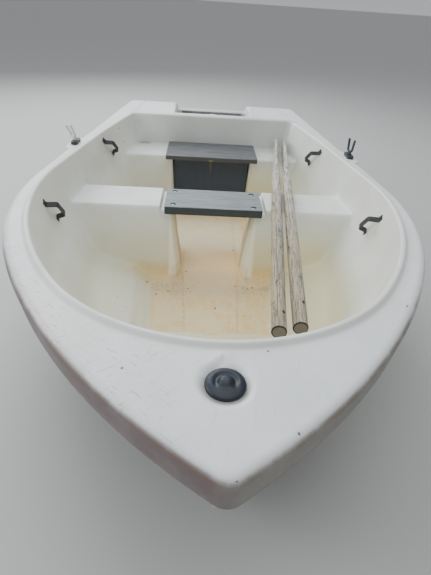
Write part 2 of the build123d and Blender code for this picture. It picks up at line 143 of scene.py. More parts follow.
class Signal:
    # one socket of a node tree; sums, differences and products with it add Math nodes
    def __init__(self, paint, socket):
        self.paint, self.socket = paint, socket

    __add__ = __radd__ = operator("ADD")
    __sub__ = operator("SUBTRACT")
    __rsub__ = operator("SUBTRACT", swapped=True)
    __mul__ = __rmul__ = operator("MULTIPLY")
    __abs__ = operator("ABSOLUTE")
    __pow__ = operator("POWER")
    pingpong = operator("PINGPONG")

    def spread(self, low, high, first=0.0, last=1.0):
        # low..high eased to first..last
        return self.paint.node("MapRange", {0: self, 1: low, 2: high, 3: first, 4: last},
                               interpolation_type="SMOOTHSTEP")

    def moved(self, noise, reach):
        # the signal with a noise about 0.5 laid over it
        return self + (noise - 0.5) * reach

    def band(self, first, last, soft):
        # 1 where the signal lies between first and last
        return self.spread(first - soft, first + soft) * self.spread(last + soft, last - soft)


class Paint:
    # a material under construction, with its Principled shader and Object coordinates at hand
    def __init__(self, name, **values):
        self.material = bpy.data.materials.new(name)
        self.material.use_nodes = True
        self.tree = self.material.node_tree
        self.shader = self.tree.nodes["Principled BSDF"]
        for key, value in values.items():
            self.shader.inputs[key].default_value = value
        self.place = self.node("TexCoord", {}, "Object")
        self.x, self.y, self.z = self.parts(self.place)

    def node(self, kind, inputs, output=0, **settings):
        made = self.tree.nodes.new("ShaderNode" + kind)
        for key, value in settings.items():
            setattr(made, key, value)
        for key, value in inputs.items():
            if isinstance(value, Signal):
                self.tree.links.new(value.socket, made.inputs[key])
            else:
                made.inputs[key].default_value = value
        return Signal(self, made.outputs[output])

    def parts(self, vector):
        return [self.node("SeparateXYZ", {0: vector}, key) for key in "XYZ"]

    def noise(self, scale, detail=3.0, rough=0.55, stretch=(1, 1, 1), seed=(0, 0, 0), distortion=0.0,
              place=None):
        place = self.node("Mapping", {"Vector": place or self.place, "Scale": stretch, "Location": seed})
        return self.node("TexNoise", {"Vector": place, "Scale": scale, "Detail": detail, "Roughness": rough,
                                      "Distortion": distortion})

    def mix(self, share, first, second):
        # two colours by a share, through a Mix node set to colour
        inputs = {0: share}
        for key, colour in ((6, first), (7, second)):
            inputs[key] = colour if isinstance(colour, Signal) else (*colour, 1)
        return self.node("Mix", inputs, 2, data_type="RGBA")

    def coats(self, tone, *coats):
        # colours laid over a tone one after the other, each by its own share
        for share, colour in coats:
            tone = self.mix(share, tone, colour)
        return tone

    def bump(self, height, distance=0.001, strength=1.0, under=None):
        inputs = {"Height": height, "Distance": distance, "Strength": strength}
        if under:
            inputs["Normal"] = under
        return self.node("Bump", inputs)

    def finish(self, **links):
        for key, value in links.items():
            self.tree.links.new(value.socket, self.shader.inputs[key.replace("_", " ")])
        return self.material


# lengths in metres; the outer plan has shares of the length from the stern with shares of the half beam, the
# cockpit's plan shares of its length from its front with half widths; rows of the fascia's foot and the skin
# are an inset, the set-backs of bow and transom, and a height; wall corners are a share of the rail's width,
# a set-back and a height; elsewhere a rise is a wall's height over its width
mould = {
    "length": 3.05, "halfBeam": 0.819, "aftHalf": 0.614, "tipRadius": 0.045, "tipLoss": 0.0092,
    "corner": 0.04,
    "outerPlan": ((0.5079, 0.986), (0.7459, 0.84), (0.8597, 0.577)),
    "deck": 0.59, "edge": 0.028, "strip": 0.006,
    "cockpitFront": -1.147, "cockpitBack": 1.125, "cockpitAftHalf": 0.533, "cockpitCorner": 0.03,
    "cockpitPlan": ((0.109, 0.49), (0.29, 0.691), (0.509, 0.733)), "aftLean": 0.03,
    "beadHeight": 0.013, "beadFull": -0.255, "beadEnd": 0.335, "rimRadius": 0.011,
    "spine": (-0.66, 1.095), "railStart": -0.3, "spineReach": 0.305, "bottomReach": 0.36,
    "wallCorners": ((1.0, 0.000, 0.59), (0.947, 0.03, 0.398), (0.775, 0.11, 0.17), (0.47, 0.2, 0.11),
                    (0.3, 0.2, 0.11)),
    "fasciaFoot": ((0.014, 0.004, 0.006, 0.502), (0.016, 0.006, 0.008, 0.5004), (0.02, 0.01, 0.011, 0.5),
                   (0.027, 0.016, 0.013, 0.5)),
    "skinCorners": ((0.034, 0.022, 0.014, 0.5), (0.078, 0.14, 0.024, 0.3), (0.15, 0.26, 0.036, 0.13),
                    (0.27, 0.44, 0.05, 0.045), (0.42, 0.58, 0.2, 0.045)),
}
pad = {"place": 0.4, "half": 0.095, "taper": 0.04, "reach": 0.018, "edge": 0.006, "foot": (0.54, 0.5375)}
floorWell = {"level": 0.066, "shelf": 0.11, "start": -0.5, "half": 0.262, "flare": 0.1, "bank": 0.074,
             "narrowing": 0.015, "aftHalf": 0.24, "back": 1.089, "front": -0.506, "stepRun": 0.05,
             "panelHalf": 0.113, "panelFlare": 0.06, "panelRise": 0.004, "panelBack": 0.75}
thwart = {"top": 0.418, "front": 0.017, "frontRise": 4.1, "back": 0.255, "backRise": 13.2,
          "ledgeDrop": 0.0203, "ledgeHalf": 0.258, "passageHalf": 0.184, "passageRise": 12.3,
          "postDepth": 0.032, "postBack": 0.055, "chamferHalf": 0.18, "chamferRise": 6.36,
          "chamferSlope": 1.52, "chamferFront": -0.085}
seat = {"top": 0.398, "front": 0.852, "frontRise": 8, "lockerHalf": 0.243, "lockerBack": 1.089}
recess = {"y": -1.286, "radius": 0.059, "point": -1.2, "end": 0.043, "depth": 0.0085, "slope": 0.019,
          "ridge": 0.004, "ridgeWidth": 0.022, "ridgeFront": -1.26}
motorWell = {"floor": 0.42, "half": 0.236, "rise": 6.54, "front": 1.196, "frontRise": 34, "back": 1.4695,
             "backRise": 48, "notch": 0.545, "notchHalf": 0.255, "notchRise": 7}
# a keel or runner: its distance from the middle line, half width, front and back
footRails = (0, 0.0345, -0.805, 1.4745), (0.3, 0.0295, -0.665, 1.4045)
# where the mesh has its rows and columns; the near rows are distances from the middle line
sampling = {
    "side": ((-0.3, -0.1, 9), (-0.1, 0.04, 26), (0.04, 0.235, 10), (0.235, 0.3, 20), (0.3, 0.35, 9),
             (0.35, 0.45, 5), (0.45, 0.5, 8), (0.5, 0.79, 13), (0.79, 0.87, 18), (0.87, 1.07, 9),
             (1.07, 1.095, 6)),
    "aftWall": ((0.49, 0.275, 12), (0.275, 0.225, 14), (0.225, 0, 8)),
    "deck": ((0, 0.06, 3), (0.06, 0.2, 12), (0.2, 0.7, 24), (0.7, 0.88, 6), (0.88, 1.0, 11)),
    "floor": (0, 0.05, 0.1, 0.106, 0.111, 0.116, 0.121, 0.126, 0.131, 0.136, 0.141, 0.146, 0.15, 0.154,
              0.158, 0.162, 0.166, 0.17, 0.175, 0.18, 0.184, 0.188, 0.193, 0.198, 0.203, 0.207, 0.211,
              0.215, 0.219, 0.224, 0.231, 0.238, 0.243, 0.246, 0.249, 0.252, 0.255, 0.258, 0.2595, 0.261,
              0.2625, 0.264, 0.2655, 0.268, 0.273, 0.281, 0.29),
    "bottom": (0, 0.02, 0.03, 0.034, 0.036, 0.038, 0.042, 0.1, 0.18, 0.255, 0.264, 0.268, 0.27, 0.273, 0.28,
               0.3, 0.32, 0.327, 0.33, 0.332, 0.336, 0.345),
}


def outerOutline(inset=0.0, bowBack=0.0, aftBack=0.0):
    # half of the outer edge from the rounded tip to the middle of the transom, and its knots as distances
    aftY = mould["length"] / 2 - aftBack
    run = mould["length"] + mould["tipLoss"] - bowBack - aftBack
    half = mould["halfBeam"] - inset
    points = [(half * share, aftY - run * along) for along, share in mould["outerPlan"]] + [(0, aftY - run)]
    aft = (mould["aftHalf"] - inset, aftY)
    lean = math.atan2(aft[0] - points[0][0], aftY - points[0][1])
    chain = arcChain(points, -math.pi / 2 - lean)[::-1]
    tip, corner = mould["tipRadius"], mould["corner"]
    side = math.atan2(chain[1, 0] - chain[0, 0], chain[1, 1] - chain[0, 1])
    angle = np.linspace(0, math.pi / 2 - side, 12)
    middle = chain[0, 1] + tip / math.sin(side)
    nose = np.stack([tip * np.sin(angle), middle - tip * np.cos(angle)], 1)
    chain = chain[chain[:, 0] > nose[-1, 0] + 1e-4]
    centre = aft[0] + corner * math.tan(-lean) - corner / math.cos(lean)
    angle = np.linspace(-lean, math.pi / 2, 12)
    bend = np.stack([centre + corner * np.cos(angle), aftY - corner + corner * np.sin(angle)], 1)
    line = np.concatenate([nose, chain, bend, [(0, aftY)]])
    run = runLength(line)
    ends = [run[0], run[11]] + [run[12 + np.abs(chain - point).sum(1).argmin()] for point in points[2::-1]]
    return line, np.array(ends + [run[-13], run[-2], run[-1]])


def cockpitEdge():
    # half of the cockpit's edge from the front to its aft corner
    front, back = mould["cockpitFront"], mould["cockpitBack"]
    points = [(0, front)] + [(half, front + (back - front) * share) for share, half in mould["cockpitPlan"]]
    return arcChain(points + [(mould["cockpitAftHalf"], back)], 0.0, 600)


def ringStations():
    # half the ring: points on the cockpit's edge, and each one's mate as a distance along the outer edge
    outerRun = runLength(outerLine)
    t = np.linspace(0, 1, 131)
    t = 0.45 * t + 0.55 * t * t
    run = runLength(cockpitLine)
    first = resampled(cockpitLine, run, np.interp(mould["railStart"], cockpitLine[:, 1], run) * t)
    sideOuter, sideRun = outerLine[:-12, 1], outerRun[:-12]
    firstOut = np.interp(mould["railStart"], sideOuter, sideRun) * t
    y = bunched(*sampling["side"])[1:]
    side = np.stack([np.interp(y, cockpitLine[:, 1], cockpitLine[:, 0]), y], 1)
    sideOut = np.interp(y, sideOuter, sideRun)
    radius, back = mould["cockpitCorner"], mould["cockpitBack"]
    reach = np.interp(back - radius, cockpitLine[:, 1], cockpitLine[:, 0])
    angle = np.linspace(0, math.pi / 2, 25)[1:]
    corner = np.stack([reach - radius + radius * np.cos(angle), back - radius + radius * np.sin(angle)], 1)
    x = bunched(*sampling["aftWall"])
    wall = np.stack([x, np.full(len(x), back)], 1)
    wallOut = outerRun[-1] - x
    gap = [sideOut[-1], outerKnots[-3], outerKnots[-2], wallOut[0]]
    cornerOut = np.interp(np.arange(1, 25), [0, 9, 20, 25], gap)
    loop = np.concatenate([first, side, corner, wall])
    return loop, np.concatenate([firstOut, sideOut, cornerOut, wallOut])


outerLine, outerKnots = outerOutline()
cockpitLine = cockpitEdge()
ring, ringOut = ringStations()
beadFall = (ring[:, 1] - mould["beadFull"]) / (mould["beadEnd"] - mould["beadFull"])
beadRise = mould["beadHeight"] * (1 - ease(beadFall))
print("ring stations:", len(ring))


def mirrored(half):
    # the whole ring from its port half: (rows, n, 3) and the same with x reversed, without the shared ends
    return np.concatenate([half, half[:, -2:0:-1] * np.array([-1, 1, 1])], 1)


def raised(plan, z):
    # points in plan with their heights
    return np.concatenate([plan, z[..., None]], 2)


def hullLoop(inset, bowBack, aftBack):
    # the ring's points on the outer skin at one level
    line, knots = outerOutline(inset, bowBack, aftBack)
    return resampled(line, runLength(line), np.interp(ringOut, outerKnots, knots))


def cockpitLoop(share, setback, aftInset):
    # the ring's points on the cockpit wall at one level; those aft keep their place along the boat
    front, back = mould["cockpitFront"], mould["cockpitBack"]
    run = back - front
    x, y = ring.T
    same = front + (y - front - setback) * run / (run - setback)
    keep = ease((y + 0.9) / 0.6)
    place = y * (1 - keep) + same * keep
    wide = np.where(keep > 0, np.interp(place, cockpitLine[:, 1], cockpitLine[:, 0]), x)
    atCorner = y > sampling["side"][-1][1] + 1e-4
    wide = np.where(atCorner | (y >= back - 1e-6), x, wide)
    along = front + setback + (place - front) * (run - setback) / run
    along = np.where(atCorner, y, along) - aftInset * ease((y - 0.95) / 0.14)
    return np.stack([wide * share, along], 1)


def wellHeights(ax, y):
    # the sunken floor: banks at its sides, a slotted step at its front and a raised panel in its middle
    level, shelf, start = floorWell["level"], floorWell["shelf"], floorWell["start"]
    rise, steep = 0.044, 30
    reach = np.clip(y - start, 0, 0.5)
    bank = floorWell["bank"] - floorWell["narrowing"] * reach
    wide = level + rise * (ax - floorWell["half"] - floorWell["flare"] * reach) / bank
    side = wide + (level + (ax - floorWell["aftHalf"]) * 3.0 - wide) * ease(y / 0.05)
    slot = 0.014 * (1 - ease((ax - 0.016) / 0.006))
    step = level + rise * (floorWell["front"] - y) / floorWell["stepRun"] - slot
    side, step = [slope + np.maximum(slope - shelf, 0) * 20 for slope in (side, step)]
    well = softMax(softMax(side, step, 0.01), level, 0.012)
    well = softMax(well, level + (y - floorWell["back"]) * steep, 0.01)
    panel = 1 - ease((ax - floorWell["panelHalf"] - floorWell["panelFlare"] * reach) / 0.008)
    panel = panel * ease((y - start) / 0.02) * (1 - ease((y - floorWell["panelBack"]) / 0.02))
    return well + floorWell["panelRise"] * panel


def cockpitHeights(x, y, base):
    # floor well cut into the base, then the thwart boxes and the aft seat laid over it
    ax = np.abs(x)
    level = floorWell["level"]
    floor = softMin(base, wellHeights(ax, y), 0.014)
    ledge = thwart["top"] - thwart["ledgeDrop"] * (1 - ease((ax - thwart["ledgeHalf"]) / 0.007))
    front = thwart["top"] + (y - thwart["front"]) * thwart["frontRise"]
    back = thwart["top"] - (y - thwart["back"]) * thwart["backRise"]
    post = thwart["postDepth"] * (1 - ease((y - thwart["postBack"]) / 0.06))
    passage = level + (ax - thwart["passageHalf"] + post) * thwart["passageRise"]
    chamfer = level + thwart["chamferRise"] * (ax - thwart["chamferHalf"])
    passage = softMin(passage, chamfer + thwart["chamferSlope"] * (y - thwart["chamferFront"]), 0.01)
    box = softMin(softMin(ledge, front, 0.03), softMin(back, passage, 0.05), 0.02)
    locker = level + np.maximum(ax - seat["lockerHalf"], y - seat["lockerBack"]) * 30
    bench = softMin(seat["top"], seat["top"] + (y - seat["front"]) * seat["frontRise"], 0.045)
    return softMax(softMax(floor, box, 0.035), softMin(bench, locker, 0.02), 0.03)


def deckHeights(x, y):
    # flat deck with the soft ridge and teardrop recess at the bow and the motor well with its notch aft
    ax = np.abs(x)
    away = np.hypot(x, y - recess["y"]) - recess["radius"]
    point = np.maximum(0.704 * ax + 0.709 * (y - recess["point"]), recess["end"] - (y - recess["y"]))
    tear = softMin(away, point, 0.016)
    ridge = np.exp(-(x / recess["ridgeWidth"]) ** 2) * ease((y - recess["ridgeFront"]) / 0.05)
    z = mould["deck"] + recess["ridge"] * ridge - recess["depth"] * ease(0.5 - tear / recess["slope"])
    floor = motorWell["floor"]
    notch = motorWell["notch"]
    lip = softMax(notch, notch + (ax - motorWell["notchHalf"]) * motorWell["notchRise"], 0.008)
    back = softMin(floor + (y - motorWell["back"]) * motorWell["backRise"], lip, 0.01)
    side = floor + (ax - motorWell["half"]) * motorWell["rise"]
    front = floor + (motorWell["front"] - y) * motorWell["frontRise"]
    pit = softMax(softMax(side, front, 0.02), floor, 0.03)
    return softMin(z, softMax(pit, back, 0.03), 0.016)


def cockpitProfile():
    # the wall corners of the mould as one smooth line from the rail down to the shelf
    corners = np.array(mould["wallCorners"])
    run = runLength(corners * np.array([0.7, 1.0, 1.0]))
    return softened(resampled(corners, run, np.arange(0, run[-1], 0.002)), 16)


def rimRows():
    # rounded rim and bead: a quarter circle up from the wall, a level top and a soft fall to the deck
    radius = mould["rimRadius"]
    angle = np.linspace(0, math.pi / 2, 8)
    outer = [0.013, 0.0155, 0.018, 0.0205, 0.023, 0.0255, 0.028, 0.031]
    offsets = np.concatenate([radius * (1 - np.cos(angle)), outer])
    rise = np.concatenate([radius * (np.sin(angle) - 1), np.zeros(8)])
    fall = np.concatenate([np.ones(8), 1 - ease((offsets[8:] - 0.0155) / 0.013)])
    return offsets, rise, fall


def ringNormals(loop):
    # unit directions out of the closed ring in plan
    whole = np.concatenate([loop, (loop * [-1, 1])[-2:0:-1]])
    along = np.roll(whole, -1, 0) - np.roll(whole, 1, 0)
    out = np.stack([along[:, 1], -along[:, 0]], 1)
    return (out / np.linalg.norm(out, axis=1, keepdims=True))[:len(loop)]


def spineRows(loop, spine, nearRows, reach, farCount):
    # rows from the middle line out to a loop: near ones keep their distance from it, others share the rest
    middle = np.stack([np.zeros(len(loop)), np.clip(loop[:, 1], *spine)], 1)
    span = np.linalg.norm(loop - middle, axis=1)
    near = np.minimum(reach, 0.85 * span)
    outs = [near * distance / reach for distance in nearRows]
    outs += [near + (span - near) * share for share in np.linspace(0, 1, farCount)[:-1]]
    share = (np.array(outs) / span)[..., None]
    return middle + (loop - middle) * share, share[..., 0]


def linerPart():
    # floor, boxes and walls of the cockpit, from the middle line out and up to the rim
    profile = cockpitProfile()
    foot = np.abs(profile[:, 0] - 0.5).argmin()
    wall = resampled(profile, np.arange(len(profile)), np.linspace(foot, 7, 46))
    loops = np.array([cockpitLoop(*row[:2], mould["aftLean"] * (mould["deck"] - row[2])) for row in wall])
    heights = wall[:, 2:] + np.zeros(len(ring))
    heights = heights + beadRise * ((heights - 0.4) / 0.19).clip(0, 1)
    inner, share = spineRows(loops[0], mould["spine"], sampling["floor"], mould["spineReach"], 8)
    base = floorWell["shelf"] + (heights[0] - floorWell["shelf"]) * ease((share - 0.7) / 0.3)
    plan = np.concatenate([inner, loops])
    return raised(plan, cockpitHeights(plan[..., 0], plan[..., 1], np.concatenate([base, heights])))


def rimPart():
    # rim and bead round the cockpit's edge, drawn in where the side deck is narrow
    offsets, rise, full = rimRows()
    room = np.linalg.norm(hullLoop(0.0, 0.0, 0.0) - ring, axis=1)
    tight = np.clip((room - 0.032) / 0.036, 0.4, 1)
    plan = ring + ringNormals(ring) * (offsets[:, None, None] * tight[None, :, None])
    return raised(plan, mould["deck"] + beadRise[None] * full[:, None] + rise[:, None])


def deckPart(start):
    # deck from the bead to the start of the rounded outer edge
    plan = start + (hullLoop(0.032, 0.04, 0.032) - start) * bunched(*sampling["deck"])[:, None, None]
    return raised(plan, deckHeights(plan[..., 0], plan[..., 1]))


def skinPart():
    # outer edge, fascia and skin; a pad under each oarlock stands out of the fascia with a sharper edge
    edge = mould["edge"]
    angle = np.linspace(0, math.pi / 2, 9)
    inset = edge * (1 - np.sin(angle))
    bend = np.stack([inset, inset * 1.2, inset, mould["deck"] - edge * (1 - np.cos(angle))], 1)
    fascia = [(0.013 * t, 0.003 * t, 0.005 * t, 0.562 - 0.058 * t) for t in (0.25, 0.5, 0.75, 0.95)]
    corners = np.array(mould["skinCorners"])
    run = runLength(corners[:, (0, 3)])
    steps = np.arange(0, run[-1], 0.002)
    skin = softened(resampled(corners, run, steps), 14)
    stop = np.abs(steps - run[3]).argmin() + 10
    skin = skin[np.linspace(4, stop, 26).astype(int)]
    levels = np.concatenate([bend, fascia, mould["fasciaFoot"], skin])
    loops = np.array([hullLoop(*row[:3]) for row in levels])
    z = levels[:, 3:] + np.zeros(len(ring))
    z = softMin(z, deckHeights(loops[..., 0], loops[..., 1]) + 0.004, 0.004)
    onPad = np.clip((pad["half"] - np.abs(ring[:, 1] - pad["place"])) / pad["taper"], 0, 1)
    onPad = onPad * (ring[:, 0] > 0.5)
    sharp = np.minimum(onPad * 4, 1)
    less = (1 - pad["edge"] / edge) * sharp
    loops[:9, :, 0] += pad["reach"] * onPad + inset[:, None] * less
    loops[9, :, 0] += pad["reach"] * onPad
    z[:9] += (mould["deck"] - z[:9]) * less
    for row, foot in zip((9, 10), pad["foot"]):
        z[row] += (foot - z[row]) * sharp
    return raised(loops, z)


def footRail(side, y, half, front, back):
    # height of a keel or runner: level below, steep at its flanks and stern, sloping up at the bow
    flank = np.maximum((side - half) * 20, (y - back) * 20)
    return mould["strip"] + np.maximum(np.maximum(flank, (front - y) * 0.62), 0)


def bottomPart(loop, height):
    # the bottom from the skin in to the middle line, with its keel and two runners
    span = (loop[0, 1] + 0.3, loop[-1, 1] - 0.02)
    inner, share = spineRows(loop, span, sampling["bottom"], mould["bottomReach"], 5)
    inner, share = inner[::-1], share[::-1]
    ax, y = np.abs(inner[..., 0]), inner[..., 1]
    keel, runner = [footRail(np.abs(ax - place), y, *rest) for place, *rest in footRails]
    return raised(inner, softMin(height * np.ones(share.shape), softMin(keel, runner, 0.004), 0.006))


def buildHull(materials):
    # three pieces with the same columns: the liner with its rim, the deck, and the skin with the bottom
    liner, rim = linerPart(), rimPart()
    deck = deckPart(rim[-1, :, :2])
    skin = skinPart()
    shell = np.concatenate([deck[1:], skin, bottomPart(skin[-1, :, :2], skin[-1, :, 2])])
    cut = len(deck) + 3
    halves = (np.concatenate([liner[:-1], rim, deck[1:2]]), shell[:cut + 1], shell[cut:])
    for name, half in zip(("hullLiner", "hullDeck", "hullSkin"), halves):
        piece = addPiece(name, gridMesh(name, mirrored(half)), materials[name])
        if name == "hullLiner":
            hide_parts("hull")
        print(name, len(piece.data.polygons), "faces")


def plasticTones(paint, light, dark):
    # ivory plastic: slow mottling between two tones, and a fine moulded texture as its bump
    tone = paint.mix(paint.noise(5.0, 3, 0.6).spread(0.38, 0.66), light, dark)
    waves = paint.bump(paint.noise(6.0, 2, 0.5), 0.004, 0.25)
    return tone, paint.bump(paint.noise(260.0, 2, 0.6), 0.0004, 0.35, waves)


def specks(paint, tone, scale, share, size, colour, seed=(0, 0, 0)):
    # small round specks: one in a share of Voronoi cells, where the distance to its centre is under size
    place = paint.node("Mapping", {"Vector": paint.place, "Location": seed})
    cell = paint.node("TexVoronoi", {"Vector": place, "Scale": scale})
    lot = paint.node("SeparateColor", {0: Signal(paint, cell.socket.node.outputs["Color"])})
    ragged = paint.noise(scale * 6, 2, 0.6) * (size * 0.9)
    spot = (cell + ragged).spread(size * 1.5, size * 1.1) * lot.spread(share, share * 0.9)
    return paint.mix(spot * 0.85, tone, colour)


def streaks(paint, stretch, scale, low, high, seed=(0, 0, 0), distortion=0.4):
    # a share that is 1 in thin long marks, from noise stretched along one way
    return paint.noise(scale, 4, 0.6, stretch, seed, distortion).spread(low, high)


def spot(firstAway, secondAway, outer, inner):
    # a round mark: 1 within the inner distance and 0 past the outer one
    return (firstAway ** 2 + secondAway ** 2).spread(outer ** 2, inner ** 2)


def dots(paint, tone, places, size, colour):
    # a spot at each (x, y), stretched along the boat by a different amount for each
    for number, (px, py) in enumerate(places):
        mark = spot(paint.x - px, (paint.y - py) * (0.7 + 0.1 * (number % 5)), size * 1.25, size * 0.6)
        tone = paint.mix(mark * 0.85, tone, colour)
    return tone


# single marks: soil on the deck and floor, screws in a tower, and in the starboard wall as (along, height)
marks = {
    "deck": ((-0.235, -1.247), (-0.149, -1.159), (0.108, -1.176), (0.143, -1.412), (0.013, -1.515),
             (0.537, -0.969)),
    "floor": ((-0.318, -0.146), (-0.265, -0.23), (-0.209, -0.201), (-0.127, -0.021), (-0.111, -0.177),
              (0.022, -0.333), (0.136, 0.224), (0.127, -0.144), (0.165, -0.15), (0.19, -0.158),
              (0.215, -0.146)),
    "tower": ((-0.353, 1.349), (-0.304, 1.327)),
    "wall": ((0.858, 0.553), (0.881, 0.462)),
}


def waterStains(paint, tone, cloud, patch, grit):
    # straw-coloured faces low on the boxes, a tide line in front of them, and the stained sunken floor
    x, ax, y, z = paint.x, abs(paint.x), paint.y, paint.z
    wash = z.moved(cloud, 0.14).spread(0.43, 0.14) * ax.spread(0.7, 0.54) * y.spread(1.1, 1.05)
    tide = z.moved(cloud, 0.07).band(0.05, 0.135, 0.035) * ax.moved(cloud, 0.3).spread(0.54, 0.26)
    tide = tide * y.moved(patch, 0.04).band(-0.155, -0.03, 0.035)
    well = z.spread(0.112, 0.094) * (y + ax * 0.02).spread(-0.6, -0.57) * y.spread(0.95, 0.9)
    well = well * (ax - y * 0.1).moved(grit, 0.02).spread(0.326, 0.306)
    pale = well * paint.noise(23.0, 5, 0.7, seed=(8.1, 0.4, 0)).spread(0.52, 0.66)
    brush = streaks(paint, (5, 1.2, 1), 7.0, 0.52, 0.64, (1.4, 0.6, 0), 1.2)
    rust = (patch * 0.6 + cloud * 0.4).spread(0.47, 0.62) + brush * x.spread(-0.1, 0.1, 0.15, 0.8)
    # orange stain under the plank, kept light as painted light where the plank shades it
    underPlank = ax.spread(0.205, 0.185) * y.moved(patch, 0.08).band(-0.18, 0.2, 0.05) * z.spread(0.08, 0.072)
    edge = (ax - 0.1 * y).moved(grit, 0.01).band(0.33, 0.35, 0.01) * z.band(0.07, 0.108, 0.006)
    return paint.coats(
        tone,
        (wash * x.spread(-0.35, 0.15, 0.58, 1.1), (0.72, 0.665, 0.43)),
        (tide * 0.8, (0.74, 0.55, 0.23)),
        (well * patch.spread(0.25, 0.6, 0.84, 1.0), (0.8, 0.63, 0.345)),
        (pale * x.spread(-0.05, 0.2, 0.3, 0.6), (0.85, 0.765, 0.56)),
        (well * rust * 0.55, (0.8, 0.52, 0.2)),
        (underPlank * cloud.spread(0.2, 0.7, 0.5, 0.85), (0.86, 0.6, 0.28)),
        (edge * y.spread(0.0, -0.05) * 0.35, (0.76, 0.66, 0.36)))


def passageStains(paint, tone, cloud, grit):
    # the passage: straw-coloured posts with painted light, brown painted shade where they turn out of sight;
    # sill, floor aft lightened with painted light, and heels
    ax, y, z = abs(paint.x), paint.y, paint.z
    # the posts' pale straw colour is lighter than the plastic: painted light on their chamfers
    posts = ax.spread(0.224, 0.208) * y.band(-0.12, 0.3, 0.02) * z.band(0.078, 0.41, 0.01)
    # painted shade: brown on the posts' faces that turn away out of sight
    turn = (y - z * 0.1).band(0.008, 0.28, 0.016) * ax.spread(0.208, 0.192) * z.spread(0.072, 0.084)
    sill = ax.spread(0.21, 0.19) * y.band(-0.24, -0.02, 0.05) * z.spread(0.08, 0.072)
    # the passage floor aft: its pale tone, lightened as painted light where the plank shades it
    inside = ax.spread(0.205, 0.185) * y.band(0.24, 0.6, 0.06) * z.spread(0.08, 0.072)
    heel = z.band(0.07, 0.125, 0.015) * ax.band(0.15, 0.195, 0.008) * y.band(-0.1, 0.03, 0.01)
    return paint.coats(
        tone,
        (posts * 0.75, (0.96, 0.915, 0.76)),
        (turn * z.spread(0.36, 0.12, 0.66, 0.74), (0.56, 0.4, 0.18)),
        (sill * grit.spread(0.25, 0.6, 0.16, 0.34), (0.42, 0.345, 0.24)),
        (inside * cloud.spread(0.25, 0.65, 0.2, 0.55), (0.86, 0.8, 0.63)),
        (heel * 0.3, (0.66, 0.47, 0.2)))


def greyDirt(paint, tone, patch, grit):
    # film at the foot of the boxes, a smear on the port floor, the panel's grooves and the aft seat's joint
    x, ax, y, z = paint.x, abs(paint.x), paint.y, paint.z
    crumb = paint.noise(90.0, 4, 0.75, seed=(6.1, 0.2, 0))
    film = y.moved(patch, 0.05).band(-0.2, -0.13, 0.018) * z.spread(0.085, 0.072) * ax.band(0.15, 0.29, 0.02)
    smear = (y - x * 0.55).band(-0.325, -0.278, 0.012) * x.band(0.26, 0.62, 0.04) * z.spread(0.16, 0.12)
    groove = abs((ax - 0.117 - 0.06 * (y + 0.5)).moved(grit, 0.008)).spread(0.009, 0.002)
    groove = groove * y.band(-0.5, -0.02, 0.01) * z.spread(0.085, 0.075) * crumb.spread(0.47, 0.6)
    joint = y.band(1.088, 1.14, 0.004) * z.moved(crumb, 0.02).band(0.394, 0.404, 0.004)
    joint = joint * x.band(-0.53, -0.425, 0.014) * crumb.spread(0.42, 0.54)
    return paint.coats(
        tone,
        (film * grit.spread(0.44, 0.62) * 0.5, (0.36, 0.33, 0.27)),
        (smear * grit.spread(0.38, 0.6) * 0.4, (0.36, 0.36, 0.28)),
        (groove * x.spread(0.05, -0.05, 0.25, 0.8), (0.36, 0.27, 0.16)),
        (joint * 0.85, (0.2, 0.13, 0.09)))


def linerPlastic():
    # inside of the cockpit: clean at the rail, beige and orange-brown where water stood, with soil low down
    paint = Paint("linerPlastic", Roughness=0.42)
    x, y, z = paint.x, paint.y, paint.z
    tone, bump = plasticTones(paint, (0.8, 0.81, 0.765), (0.745, 0.75, 0.695))
    cloud = paint.noise(7.0, 5, 0.62, seed=(3.1, 0.4, 0))
    patch = paint.noise(17.0, 6, 0.68, seed=(0.7, 2.2, 0))
    grit = paint.noise(55.0, 5, 0.7, seed=(0.2, 5.2, 0))
    tone = waterStains(paint, tone, cloud, patch, grit)
    tone = passageStains(paint, tone, cloud, grit)
    clean = greyDirt(paint, tone, patch, grit)
    low = z.spread(0.2, 0.13)
    soiled = specks(paint, clean, 21.0, 0.42, 0.07, (0.06, 0.045, 0.035))
    soiled = specks(paint, soiled, 60.0, 0.22, 0.12, (0.17, 0.12, 0.08), (4.2, 1.7, 0.3))
    tone = dots(paint, paint.mix(low, clean, soiled), marks["floor"], 0.005, (0.07, 0.05, 0.035))
    # painted shade: the aft wall greyer away from its starboard corner
    aft = y.spread(1.086, 1.106) * x.spread(-0.52, -0.15, 0.1, 0.44)
    # painted shadow of the oars and the wall greys the aft seat beside the oars
    shade = x.spread(0.22, 0.34) * y.band(0.84, 1.1, 0.03) * z.band(0.37, 0.42, 0.02)
    tone = paint.coats(tone, (aft, (0.38, 0.385, 0.37)), (shade * 0.28, (0.4, 0.4, 0.38)))
    tone = specks(paint, tone, 9.0, 0.06, 0.02, (0.1, 0.09, 0.07), (0.3, 0.9, 0.2))
    scuff = streaks(paint, (1, 3, 14), 6.0, 0.66, 0.72) * z.spread(0.2, 0.32)
    screws = [(spot(y - py, z - pz, 0.0062, 0.0035) * x.spread(-0.3, -0.4) * 0.9, (0.06, 0.06, 0.06))
              for py, pz in marks["wall"]]
    tone = paint.coats(tone, (scuff * 0.1, (0.45, 0.43, 0.38)), *screws)
    rough = cloud.spread(0.3, 0.7, 0.36, 0.52) + low * 0.12
    return paint.finish(Base_Color=tone, Normal=bump, Roughness=rough)


